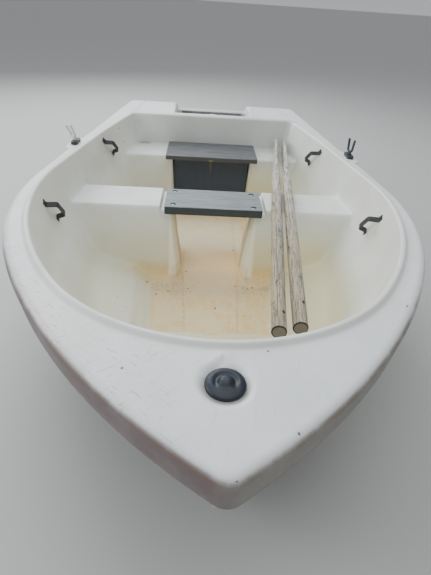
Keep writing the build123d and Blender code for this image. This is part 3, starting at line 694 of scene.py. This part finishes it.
def edgeGrimeAndShade(paint, tone, cloud):
    # pinkish grey dirt and painted shade on the fascia towards the bow, a brown line rubbed along its top and
    # soil at its foot
    x, y, z = paint.x, paint.y, paint.z
    right = x.spread(-0.04, 0.04)
    bow = (y + right * 0.25).spread(-0.4, -0.9) * y.spread(-0.8, -1.3, 0.9, 1.0)
    # the fascia's dark grime is dirt with painted shade laid into it, darker and pinker on the starboard side
    grimeAndShade = z.spread(0.5885, 0.574) * cloud.spread(0.3, 0.62, 0.92, 1.0) * bow.spread(0, 1, 0.04, 0.95)
    rub = z.moved(cloud, 0.01).band(0.57, 0.583, 0.003) * y.spread(-0.5, -0.85)
    foot = z.moved(cloud, 0.02).spread(0.52, 0.5)
    return paint.coats(
        tone,
        (grimeAndShade * (1 - right * 0.1), paint.mix(right, (0.135, 0.086, 0.084), (0.165, 0.14, 0.112))),
        (rub * cloud.spread(0.4, 0.58) * 0.5, (0.18, 0.125, 0.09)),
        (foot * 0.35, (0.27, 0.215, 0.18)))


def hairScratches(paint, tone):
    # brown hairs from noise drawn out along three ways, two of them only on the left shoulder of the bow
    shoulder = paint.y.spread(-0.35, -0.7) * paint.x.spread(-0.02, -0.25)
    ways = (0.62, (1.3, 0.2, 0), shoulder), (-0.75, (2.0, 1.0, 0), shoulder), (1.35, (0.4, 3.1, 0), 0.28)
    for turn, seed, share in ways:
        place = paint.node("Mapping", {"Vector": paint.place, "Rotation": (0, 0, turn), "Scale": (1, 0.05, 1),
                                       "Location": seed}, vector_type="TEXTURE")
        hair = paint.node("TexNoise", {"Vector": place, "Scale": 15.0, "Detail": 3.0, "Roughness": 0.6,
                                       "Distortion": 0.8})
        tone = paint.mix(hair.spread(0.64, 0.665) * share * 0.8, tone, (0.34, 0.27, 0.18))
    return tone


def deckPlastic():
    # deck and fascia: cool white, yellower on the left, with hair scratches, specks and a worn left edge
    paint = Paint("deckPlastic", Roughness=0.4)
    x, y, z = paint.x, paint.y, paint.z
    tone, bump = plasticTones(paint, (0.8, 0.815, 0.805), (0.755, 0.77, 0.76))
    cloud = paint.noise(9.0, 5, 0.65, seed=(1.3, 0.2, 0))
    warm = paint.noise(3.0, 3, 0.6, seed=(0.4, 0, 0)).spread(0.42, 0.66) * x.spread(-0.15, -0.6)
    wear = z.spread(0.5895, 0.58) * x.spread(-0.15, -0.35) * cloud.spread(0.5, 0.62)
    tone = paint.coats(tone, (warm * 0.7, (0.83, 0.795, 0.68)), (wear * 0.65, (0.42, 0.33, 0.24)))
    tone = hairScratches(paint, edgeGrimeAndShade(paint, tone, cloud))
    tone = specks(paint, tone, 7.0, 0.3, 0.022, (0.09, 0.08, 0.07), (0.2, 0.5, 0.1))
    tone = specks(paint, tone, 30.0, 0.05, 0.05, (0.18, 0.15, 0.12), (1.2, 2.5, 0.1))
    tone = dots(paint, tone, marks["deck"], 0.0034, (0.05, 0.04, 0.035))
    tone = dots(paint, tone, marks["tower"], 0.005, (0.35, 0.19, 0.15))
    # slime on the aft wall of the motor well, and the joint between a tower and the side deck
    slime = y.spread(1.4, 1.455) * z.spread(0.56, 0.535) * abs(x).spread(0.262, 0.24)
    slime = slime * paint.noise(120.0, 4, 0.7, seed=(0.5, 0.1, 2.0)).spread(0.35, 0.65, 0.6, 0.95)
    joint = abs(abs(x) - 0.547 + (y - 1.107) * 0.14).spread(0.0065, 0.003)
    joint = joint * y.spread(1.09, 1.12) * z.spread(0.585, 0.588) * x.spread(0.2, -0.2, 0.35, 0.6)
    tone = paint.coats(tone, (slime, (0.235, 0.235, 0.19)), (joint, (0.36, 0.37, 0.36)))
    return paint.finish(Base_Color=tone, Normal=bump, Roughness=cloud.spread(0.3, 0.7, 0.32, 0.48))


def skinPlastic():
    # fascia and the hull under it: the same plastic, dustier, with scrapes along the boat near the ground
    paint = Paint("skinPlastic", Roughness=0.5)
    z = paint.z
    tone, bump = plasticTones(paint, (0.8, 0.815, 0.8), (0.745, 0.755, 0.735))
    cloud = paint.noise(6.0, 5, 0.65, seed=(2.3, 0.2, 0.5))
    dust = z.moved(cloud, 0.25).spread(0.42, 0.06)
    # a band of dirt and painted shade just under the fascia's foot, darkest where the skin tucks in beneath
    # it
    grimeAndShade = z.spread(0.42, 0.502) * z.spread(0.512, 0.502) * cloud.spread(0.35, 0.62, 0.5, 0.95)
    tone = paint.coats(tone, (dust * 0.55, (0.5, 0.44, 0.34)), (grimeAndShade * 0.55, (0.36, 0.3, 0.27)))
    tone = edgeGrimeAndShade(paint, tone, paint.noise(9.0, 5, 0.65, seed=(1.3, 0.2, 0)))
    scrape = streaks(paint, (12, 0.8, 12), 5.0, 0.6, 0.66) * z.spread(0.25, 0.06)
    tone = paint.mix(scrape * 0.45, tone, (0.36, 0.34, 0.31))
    tone = specks(paint, tone, 16.0, 0.25, 0.04, (0.12, 0.1, 0.08))
    return paint.finish(Base_Color=tone, Normal=bump)


def grainedBoard(name, board, seed):
    # composite board with pressed wood grain along X, its sides painted darker as shade, and weathered pale
    # patches on its top
    paint = Paint(name, Roughness=0.55)
    light, top = board["light"], board["top"]
    vein = paint.noise(5.0, 6, 0.62, (1.2, 16, 16), seed, 1.2)
    fine = paint.noise(9.0, 5, 0.7, (2.5, 60, 60), seed, 0.4)
    cloud = paint.noise(5.0, 4, 0.6, (1, 2.5, 1), seed)
    colour = paint.coats(
        paint.mix(vein.spread(0.36, 0.62), board["dark"], light),
        (fine.spread(0.5, 0.68) * 0.55, tuple(1.22 * c for c in light)),
        (cloud.spread(0.5, 0.72) * 0.35, tuple(1.35 * c for c in light)))
    # the board's sides below its top take the edge tone: painted shade
    edge = paint.mix(fine.spread(0.45, 0.7) * 0.14, board["edge"], light)
    colour = paint.mix(paint.z.spread(top - 0.004, top - 0.001), edge, colour)
    return paint, colour, paint.bump(vein, 0.0012, 0.5, paint.bump(fine, 0.0006, 0.5))


# edge is the tone of a board's sides, a painted shade
plank = {"light": (0.25, 0.272, 0.276), "dark": (0.15, 0.172, 0.18), "edge": (0.026, 0.038, 0.048),
         "top": 0.4377,
         "screws": {"x": 0.197, "y": 0.088, "halfGap": 0.081, "head": 0.0085, "rise": 0.0022,
                    "seatDepth": 0.0039}}
lid = {"light": (0.122, 0.126, 0.132), "dark": (0.05, 0.054, 0.06), "edge": (0.06, 0.064, 0.068),
       "top": 0.4243, "nails": {"x": -0.007, "halfGap": 0.0068, "z": 0.4035, "front": 0.782}}


def plankBoard():
    # weathered board with cracks along it and painted shade in the seats of its screws
    paint, colour, grain = grainedBoard("plankBoard", plank, (0.4, 0.2, 0))
    crack = streaks(paint, (2.2, 40, 1), 2.0, 0.705, 0.72, (1.5, 0.3, 0), 1.4)
    screws = plank["screws"]
    # the seats of the screws painted dark: painted shade in the recesses
    seat = spot(abs(paint.x) - screws["x"], abs(paint.y - screws["y"]) - screws["halfGap"], 0.015, 0.0125)
    seat = seat * paint.z.spread(0.4385, 0.4365, 0.75, 1.0)
    colour = paint.coats(colour, (crack * 0.7, (0.07, 0.08, 0.09)), (seat * 0.9, (0.022, 0.026, 0.03)))
    return paint.finish(Base_Color=colour, Normal=grain)


def lidBoard():
    # the same board, darker, with two brass nails in its front edge
    paint, colour, grain = grainedBoard("lidBoard", lid, (2.4, 1.2, 0))
    nails = lid["nails"]
    heads = spot(abs(paint.x - nails["x"]) - nails["halfGap"], paint.z - nails["z"], 0.0034, 0.0022)
    heads = heads * paint.y.spread(nails["front"], nails["front"] - 0.004)
    return paint.finish(Base_Color=paint.mix(heads, colour, (0.48, 0.34, 0.13)), Normal=grain)


def frontBoard():
    # charcoal board with faint upright lines and a rusty run below the catch
    paint = Paint("frontBoard", Roughness=0.5)
    lines = paint.noise(7.0, 4, 0.6, (9, 1, 0.5))
    groove = (paint.x + 0.011).pingpong(0.034)
    run = (paint.x + 0.004).moved(paint.noise(14.0, 3, 0.6, seed=(0.3, 0, 0)), 0.012)
    run = abs(run).spread(0.01, 0.003) * paint.z.band(0.3, 0.41, 0.05)
    colour = paint.coats(
        paint.mix(lines.spread(0.35, 0.65), (0.037, 0.051, 0.083), (0.041, 0.057, 0.092)),
        (groove.spread(0.003, 0.0005) * 0.1, (0.09, 0.11, 0.13)),
        (run * paint.z.spread(0.24, 0.4, 0.3, 0.65), (0.19, 0.145, 0.07)),
        (paint.z.spread(0.11, 0.07) * 0.25, (0.16, 0.145, 0.12)))
    return paint.finish(Base_Color=colour, Normal=paint.bump(lines, 0.0003, 0.2))


def cloudyMetal(name, light, dark, rough, metallic, rust=0.0):
    # dull metal that varies between two tones, with a share of rust spots
    paint = Paint(name, Roughness=rough, Metallic=metallic)
    cloud = paint.noise(70.0, 5, 0.7)
    colour = paint.mix(cloud.spread(0.35, 0.65), dark, light)
    if rust:
        spots = paint.noise(110.0, 4, 0.7, seed=(2, 1, 0)).spread(0.56, 0.66)
        colour = paint.mix(spots * rust, colour, (0.2, 0.095, 0.035))
    return paint.finish(Base_Color=colour, Roughness=cloud.spread(0.3, 0.7, rough - 0.08, rough + 0.12),
                        Normal=paint.bump(cloud, 0.0004, 0.4))


def darkPlastic(name, light, dark, rough, ribs=None):
    # matt plastic or rubber with dust on it; ribs are grooves every so many metres along x
    paint = Paint(name, Roughness=rough)
    cloud = paint.noise(40.0, 5, 0.65)
    colour = paint.mix(cloud.spread(0.38, 0.7), dark, light)
    bump = paint.bump(paint.noise(700.0, 2, 0.5), 0.0003, 0.4)
    if ribs:
        wave = paint.x.pingpong(ribs / 2)
        colour = paint.mix(wave.spread(ribs * 0.12, ribs * 0.03) * 0.6, colour, tuple(0.4 * c for c in dark))
        bump = paint.bump(wave.spread(ribs * 0.02, ribs * 0.14), 0.0015, 0.8, bump)
    return paint.finish(Base_Color=colour, Normal=bump,
                        Roughness=cloud.spread(0.3, 0.7, rough - 0.07, rough + 0.1))


def rubStrip():
    # grey wear strip with scratches along the boat
    paint = Paint("rubStrip", Roughness=0.6)
    cut = streaks(paint, (60, 1.2, 60), 4.0, 0.5, 0.66)
    colour = paint.mix(cut * 0.7, (0.17, 0.17, 0.165), (0.36, 0.35, 0.33))
    return paint.finish(Base_Color=colour, Normal=paint.bump(cut, 0.0006, 0.5))


buildHull({"hullLiner": linerPlastic(), "hullDeck": deckPlastic(), "hullSkin": skinPlastic()})
print("hull built")


# the cap's profile as shares of its radius and height, towards the stern and towards the bow
cap = {"centre": (0.0, -1.284, 0.5813), "radius": 0.0465, "height": 0.022, "columns": 96,
       "aft": ((0, 0), (0.98, 0), (1.03, 0.08), (1.03, 0.28), (1.00, 0.44), (0.93, 0.56), (0.82, 0.66),
               (0.72, 0.7), (0.64, 0.68), (0.57, 0.61), (0.51, 0.56), (0.45, 0.56), (0.39, 0.64),
               (0.34, 0.76), (0.29, 0.88), (0.23, 0.955), (0.13, 1.0), (0, 0.99)),
       "fore": ((0, 0), (0.98, 0), (1.03, 0.08), (1.03, 0.26), (1.00, 0.39), (0.93, 0.47), (0.84, 0.54),
                (0.74, 0.59), (0.66, 0.62), (0.59, 0.645), (0.53, 0.67), (0.47, 0.7), (0.41, 0.745),
                (0.36, 0.8), (0.3, 0.88), (0.23, 0.955), (0.13, 1.0), (0, 0.99))}


def turned(profile, centre, columns):
    # a profile of (radius, height) turned round a vertical axis: x = r cos a, y = r sin a
    angle = np.linspace(0, 2 * math.pi, columns, endpoint=False)
    r, z = np.asarray(profile).T[..., None]
    return np.stack([r * np.cos(angle), r * np.sin(angle), z + 0 * angle], -1) + np.asarray(centre)


def rounded(points, size, count):
    # corners of an open line cut by quadratic curves that start a share of the shorter leg from them
    before, here, after = points[:-2], points[1:-1], points[2:]
    back, on = [np.linalg.norm(other - here, axis=1, keepdims=True) for other in (before, after)]
    reach = size * np.minimum(back, on)
    start = here + (before - here) / back * reach
    end = here + (after - here) / on * reach
    t = np.linspace(0, 1, count)[None, :, None]
    bends = (1 - t) ** 2 * start[:, None] + 2 * t * (1 - t) * here[:, None] + t * t * end[:, None]
    return np.concatenate([points[:1], bends.reshape(-1, points.shape[1]), points[-1:]])


def addCap():
    # two turned profiles mixed round the cap: a valley behind and beside the knob, filled in front of it
    size = (cap["radius"], cap["height"])
    aft, fore = [turned(rounded(np.array(cap[key]) * size, 0.45, 5), cap["centre"], cap["columns"])
                 for key in ("aft", "fore")]
    angle = np.linspace(0, 2 * math.pi, cap["columns"], endpoint=False)
    share = ease((-np.sin(angle) - 0.1) / 0.75)[None, :, None]
    rubber = darkPlastic("capRubber", (0.007, 0.015, 0.03), (0.004, 0.009, 0.018), 0.44)
    piece = addPiece("capRim", gridMesh("capRim", aft + (fore - aft) * share, flip=True), rubber)
    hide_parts("bow_cap")


addCap()


# each oar runs from its near end to its blade's tip; warm is how straw-coloured it gets, and its marks are
# distances from the near end, with the knot's place across
oar = {
    "axisHeight": 0.4443, "loom": 0.026, "neck": 0.0215, "bladeHalf": 0.046, "tipHalf": 0.035,
    "rootThick": 0.015, "bladeThick": 0.0125, "bladeLength": 0.62, "straightTo": 0.275,
    "widest": 0.0459, "thickest": 0.0259,
    "starboard": {"ends": ((0.19, -0.935), (0.448, 1.103)), "warm": 0.85, "phase": 0.0,
                  "split": 1.05, "notch": 0.648, "knot": 0.0815, "knotSide": 0.013},
    "port": {"ends": ((0.262, -0.913), (0.5, 1.065)), "warm": 0.8, "phase": 1.7,
             "split": 0.0, "notch": 0.95, "knot": 0.115, "knotSide": 0.012},
}


def oarMarks(paint, colour, one, across, run, up, blotch):
    # a long split in the loom, a dark notch across it and one big knot
    split = abs((across + 0.007).moved(blotch, 0.008)).spread(0.0016, 0.0006)
    split = split * run.band(0.02, one["split"], 0.05)
    notch = (run + across * 0.15).band(one["notch"], one["notch"] + 0.007, 0.002)
    notch = notch * across.spread(-0.012, 0.002) * up.spread(0.0, 0.01)
    knot = ((run - one["knot"]) * 0.6) ** 2 + (across - one["knotSide"]) ** 2
    return paint.coats(
        colour,
        (split * 0.8, (0.06, 0.05, 0.04)),
        (notch * 0.85, (0.05, 0.042, 0.035)),
        (knot.spread(0.0058 ** 2, 0.0042 ** 2) * up.spread(0.0, 0.008), (0.012, 0.01, 0.008)))


def oarTimber(name, one):
    # silver-grey weathered wood: long cracks and grain along the piece, read from its timber attribute
    paint = Paint(name, Roughness=0.75)
    timber = paint.node("Attribute", {}, "Vector", attribute_name="timber")
    across, run, up = [part - one["phase"] for part in paint.parts(timber)]

    def along(scale, stretch, seed=(0, 0, 0), detail=5.0, distortion=0.3):
        return paint.noise(scale, detail, 0.65, stretch, seed, distortion, timber)

    grain = along(40.0, (4, 0.22, 4))
    fibre = along(90.0, (5, 0.1, 5), (1, 2, 0))
    blotch = along(9.0, (2, 1, 2), (3, 0, 1))
    mildew = along(60.0, (1.5, 0.8, 1.5), (0, 4, 2), 6.0)
    pits = along(160.0, (1.2, 0.7, 1.2), (5, 1, 2), 4.0)
    crack = abs(along(7.0, (9, 0.35, 9), (0.3, 0.1, 0.6), 3.0, 0.8) - 0.5).spread(0.02, 0.008)
    knotPlace = paint.node("Mapping", {"Vector": timber, "Scale": (1, 0.5, 1),
                                       "Location": (0.21, 0.37, 0.11)})
    knots = paint.node("TexVoronoi", {"Vector": knotPlace, "Scale": 9.0}).spread(0.075, 0.045)
    vein = grain.spread(0.3, 0.6)
    silver = paint.mix(vein, (0.37, 0.345, 0.305), (0.74, 0.725, 0.69))
    straw = paint.mix(vein, (0.155, 0.115, 0.062), (0.4, 0.325, 0.205))
    flank = across.moved(blotch, 0.02).spread(-0.002, -0.012) * run.spread(1.5, 0.9)
    colour = paint.coats(
        silver,
        (paint.y.spread(0.45, -0.85, 0.15, one["warm"]), straw),
        (flank * 0.6, straw),
        (pits.spread(0.58, 0.66) * 0.65, (0.13, 0.105, 0.08)),
        (fibre.spread(0.52, 0.66) * 0.55, (0.15, 0.125, 0.1)),
        (blotch.spread(0.46, 0.68) * 0.5, (0.5, 0.38, 0.24)),
        (mildew.spread(0.58, 0.67) * 0.7, (0.09, 0.08, 0.07)),
        (crack * 0.9, (0.045, 0.038, 0.032)),
        (knots * 0.85, (0.05, 0.042, 0.035)))
    colour = oarMarks(paint, colour, one, across, run, up, blotch)
    # end grain: pale rings inside a black rim
    radius = (across ** 2 + up ** 2) ** 0.5
    rings = radius.moved(grain, 0.004).pingpong(0.002)
    endTone = paint.mix(rings.spread(0.0004, 0.0016), (0.1, 0.08, 0.06), (0.22, 0.18, 0.135))
    rim = radius.moved(fibre, 0.004).spread(0.0195, 0.0225)
    colour = paint.mix(run.spread(0.0052, 0.0044), colour, paint.mix(rim, endTone, (0.02, 0.016, 0.013)))
    cracks = paint.bump(crack + knots, 0.002, -1.0)
    return paint.finish(Base_Color=colour, Normal=paint.bump(grain, 0.0015, 0.6, cracks))


def oarSection(t, size, straight):
    # half height and half thickness at each distance: round in the loom, thin and tall in the blade
    loom, neck, blade = oar["loom"], oar["neck"], oar["bladeHalf"]
    start = size - oar["bladeLength"]
    even = np.linspace(0, size, 400)
    tall = np.interp(t, [0, straight, start, start + 0.16, size - 0.118, size],
                     [loom, loom, neck, blade, blade, oar["tipHalf"]])
    thin = np.interp(t, [0, straight, start, start + 0.2, size],
                     [loom, loom, neck, oar["rootThick"], oar["bladeThick"]])
    tall, thin = [softened(np.interp(even, t, half)[:, None], 4)[:, 0] for half in (tall, thin)]
    limits = (tall, oar["widest"]), (thin, oar["thickest"])
    return [np.minimum(np.interp(t, even, half), limit) for half, limit in limits]


def addOar(side):
    # an ellipse carried along the oar's axis, slightly uneven, with a domed near end and a rounded tip
    one, name = oar[side], "oar" + side.title()
    start, end = np.array(one["ends"])
    size = np.linalg.norm(end - start)
    way = (end - start) / size
    across = np.array([way[1], -way[0]])
    t = np.concatenate([np.linspace(0, size - 0.02, 260), [size - 0.012, size - 0.006, size - 0.002, size]])
    tall, thin = oarSection(t, size, oar["straightTo"] - start[1])
    shrink = np.ones(len(t))
    shrink[-4:] = (0.97, 0.88, 0.7, 0.45)
    angle = np.linspace(0, 2 * math.pi, 56, endpoint=False)
    waves = np.sin(5.1 * t[:, None] + one["phase"] + np.sin(2 * angle))
    uneven = 1 - 0.022 * (1 + waves) * (0.6 + 0.4 * np.sin(3 * angle + 7 * t[:, None]))
    flats = 1 - 0.035 * np.maximum(0, np.cos(4 * angle + 0.6 + 0.8 * t[:, None])) ** 3
    a = thin[:, None] * np.cos(angle) * uneven * flats * shrink[:, None]
    b = tall[:, None] * np.sin(angle) * uneven * flats * shrink[:, None]
    ends = np.array([0, 0.55, 0.88, 0.97])[:, None]
    a, b = [np.concatenate([half[:1] * ends * 0.97, half, half[-1:] * 0]) for half in (a, b)]
    t = np.concatenate([[0.0042, 0.003, 0.0012, 0.0003], t, [size]])
    t[4] = 0.0045
    place = start + way * t[:, None, None] + across * a[..., None]
    mesh = gridMesh(name, raised(place, oar["axisHeight"] + b))
    layer = mesh.attributes.new("timber", "FLOAT_VECTOR", "POINT")
    layer.data.foreach_set("vector", np.stack([a, t[:, None] + 0 * a, b], -1).ravel() + one["phase"])
    piece = addPiece(name, mesh, oarTimber("oarTimber" + side.title(), one))
    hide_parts("oar_" + side)


addOar("starboard")
addOar("port")
print("oars built")


def dome(centre, radius, rise):
    # a quarter of an ellipse turned round the vertical, closed below
    angle = np.linspace(0, math.pi / 2, 8)
    profile = np.concatenate([[(0, 0)], np.stack([radius * np.cos(angle), rise * np.sin(angle)], 1)])
    return turned(profile, centre, 28)


def addScrews():
    # a domed head in each seat of the plank
    screws = plank["screws"]
    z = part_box("thwart_plank")[1][2] - screws["seatDepth"]
    steel = cloudyMetal("screwSteel", (0.42, 0.43, 0.44), (0.2, 0.2, 0.21), 0.42, 0.9, 0.35)
    for number in range(4):
        x = screws["x"] * (-1, 1)[number % 2]
        y = screws["y"] + screws["halfGap"] * (-1, 1)[number // 2]
        name = "plankScrew%d" % (number + 1)
        head = dome((x, y, z), screws["head"], screws["rise"])
        addPiece(name, gridMesh(name, head, flip=True), steel)


addScrews()


def dress(material, *nodes):
    # CAD nodes keep their meshes and take a better finish
    for node in nodes:
        for slot in bpy.data.objects[node].material_slots:
            slot.material = material


def dressNodes():
    dress(plankBoard(), "thwart_plank")
    dress(lidBoard(), "locker_lid", "lid_battens")
    dress(frontBoard(), "locker_front")
    dress(cloudyMetal("oldBrass", (0.5, 0.36, 0.13), (0.22, 0.15, 0.06), 0.42, 0.9, 0.2),
          "locker_catch", "lid_hinge_base", "lid_hinge_leaf")
    dress(darkPlastic("clampPad", (0.23, 0.235, 0.22), (0.13, 0.135, 0.13), 0.55, ribs=0.022), "motor_pad")
    dress(cloudyMetal("eyePlastic", (0.6, 0.6, 0.58), (0.48, 0.48, 0.46), 0.45, 0.0), "stem_eye")
    dress(darkPlastic("plugRubber", (0.06, 0.06, 0.06), (0.025, 0.025, 0.027), 0.5), "drain_plug")
    dress(rubStrip(), "keel_strip", "runner_strip_port", "runner_strip_starboard")
    dress(darkPlastic("socketPlastic", (0.055, 0.055, 0.058), (0.016, 0.017, 0.019), 0.5),
          "lock_socket_port", "lock_socket_starboard")
    dress(darkPlastic("strapPlastic", (0.045, 0.045, 0.046), (0.012, 0.012, 0.013), 0.55),
          "handle_fore_port", "handle_aft_port", "handle_fore_starboard", "handle_aft_starboard")
    dress(cloudyMetal("zincLock", (0.8, 0.8, 0.78), (0.6, 0.6, 0.58), 0.6, 0.25, 0.25), "oarlock_starboard")
    dress(darkPlastic("blueLock", (0.075, 0.095, 0.125), (0.035, 0.046, 0.064), 0.45), "oarlock_port")


dressNodes()
print("fittings dressed")


# angles in degrees; the focal length and the height of the photo in pixels
view = {"place": (-0.0764, -1.9542, 1.3119), "yaw": -3.31, "pitch": 34.65, "roll": -4.04,
        "focalPixels": 432.5, "photoPixels": 575, "sensor": 36}


def addCamera():
    # the camera looks along Y, rolls about it, is pitched down about X and turned about Z
    camera = bpy.data.objects.new("camera", bpy.data.cameras.new("camera"))
    bpy.context.scene.collection.objects.link(camera)
    (cy, sy), (cp, sp), (cr, sr) = [(math.cos(math.radians(view[key])), math.sin(math.radians(view[key])))
                                    for key in ("yaw", "pitch", "roll")]
    turnZ = np.array([(cy, -sy, 0), (sy, cy, 0), (0, 0, 1)])
    turnX = np.array([(1, 0, 0), (0, cp, sp), (0, -sp, cp)])
    turnY = np.array([(cr, 0, sr), (0, 1, 0), (-sr, 0, cr)])
    right, forward, up = (turnZ @ turnX @ turnY).T
    matrix = np.identity(4)
    matrix[:3] = np.stack([right, up, -forward, view["place"]], 1)
    camera.matrix_world = mathutils.Matrix(matrix.tolist())
    camera.data.sensor_fit = "VERTICAL"
    camera.data.sensor_height = view["sensor"]
    camera.data.lens = view["focalPixels"] / view["photoPixels"] * view["sensor"]
    bpy.context.scene.camera = camera


addCamera()


stage = {
    "half": 60, "floorTone": (0.52, 0.52, 0.505, 1), "sky": (0.93, 0.96, 1.0, 1), "skyStrength": 0.5,
    "lampTone": (0.91, 0.965, 1.0), "aim": (0, 0, 0.5),
    "lamps": (("aftPanel", (-1.5, 3.6, 3.6), 235, 4.0), ("leftPanel", (-4.2, -0.8, 2.6), 115, 3.0),
              ("topPanel", (0.2, -0.8, 4.6), 85, 4.0)),
}


def addStage():
    # a plain floor, an even sky and three large lamps
    half = stage["half"]
    mesh = bpy.data.meshes.new("floor")
    corners = [(-half, -half, 0), (half, -half, 0), (half, half, 0), (-half, half, 0)]
    mesh.from_pydata(corners, [], [(0, 1, 2, 3)])
    floor = bpy.data.objects.new("floor", mesh)
    bpy.context.scene.collection.objects.link(floor)
    paint = Paint("floorPaint", Roughness=0.8)
    paint.shader.inputs["Base Color"].default_value = stage["floorTone"]
    mesh.materials.append(paint.material)
    world = bpy.data.worlds.new("softRoom")
    bpy.context.scene.world = world
    world.use_nodes = True
    sky = world.node_tree.nodes["Background"].inputs
    sky[0].default_value = stage["sky"]
    sky[1].default_value = stage["skyStrength"]
    for name, place, power, size in stage["lamps"]:
        lamp = bpy.data.lights.new(name, "AREA")
        lamp.energy, lamp.size, lamp.color = power, size, stage["lampTone"]
        panel = bpy.data.objects.new(name, lamp)
        panel.location = place
        aim = mathutils.Vector(stage["aim"]) - panel.location
        panel.rotation_euler = aim.to_track_quat("-Z", "Y").to_euler()
        bpy.context.scene.collection.objects.link(panel)


addStage()
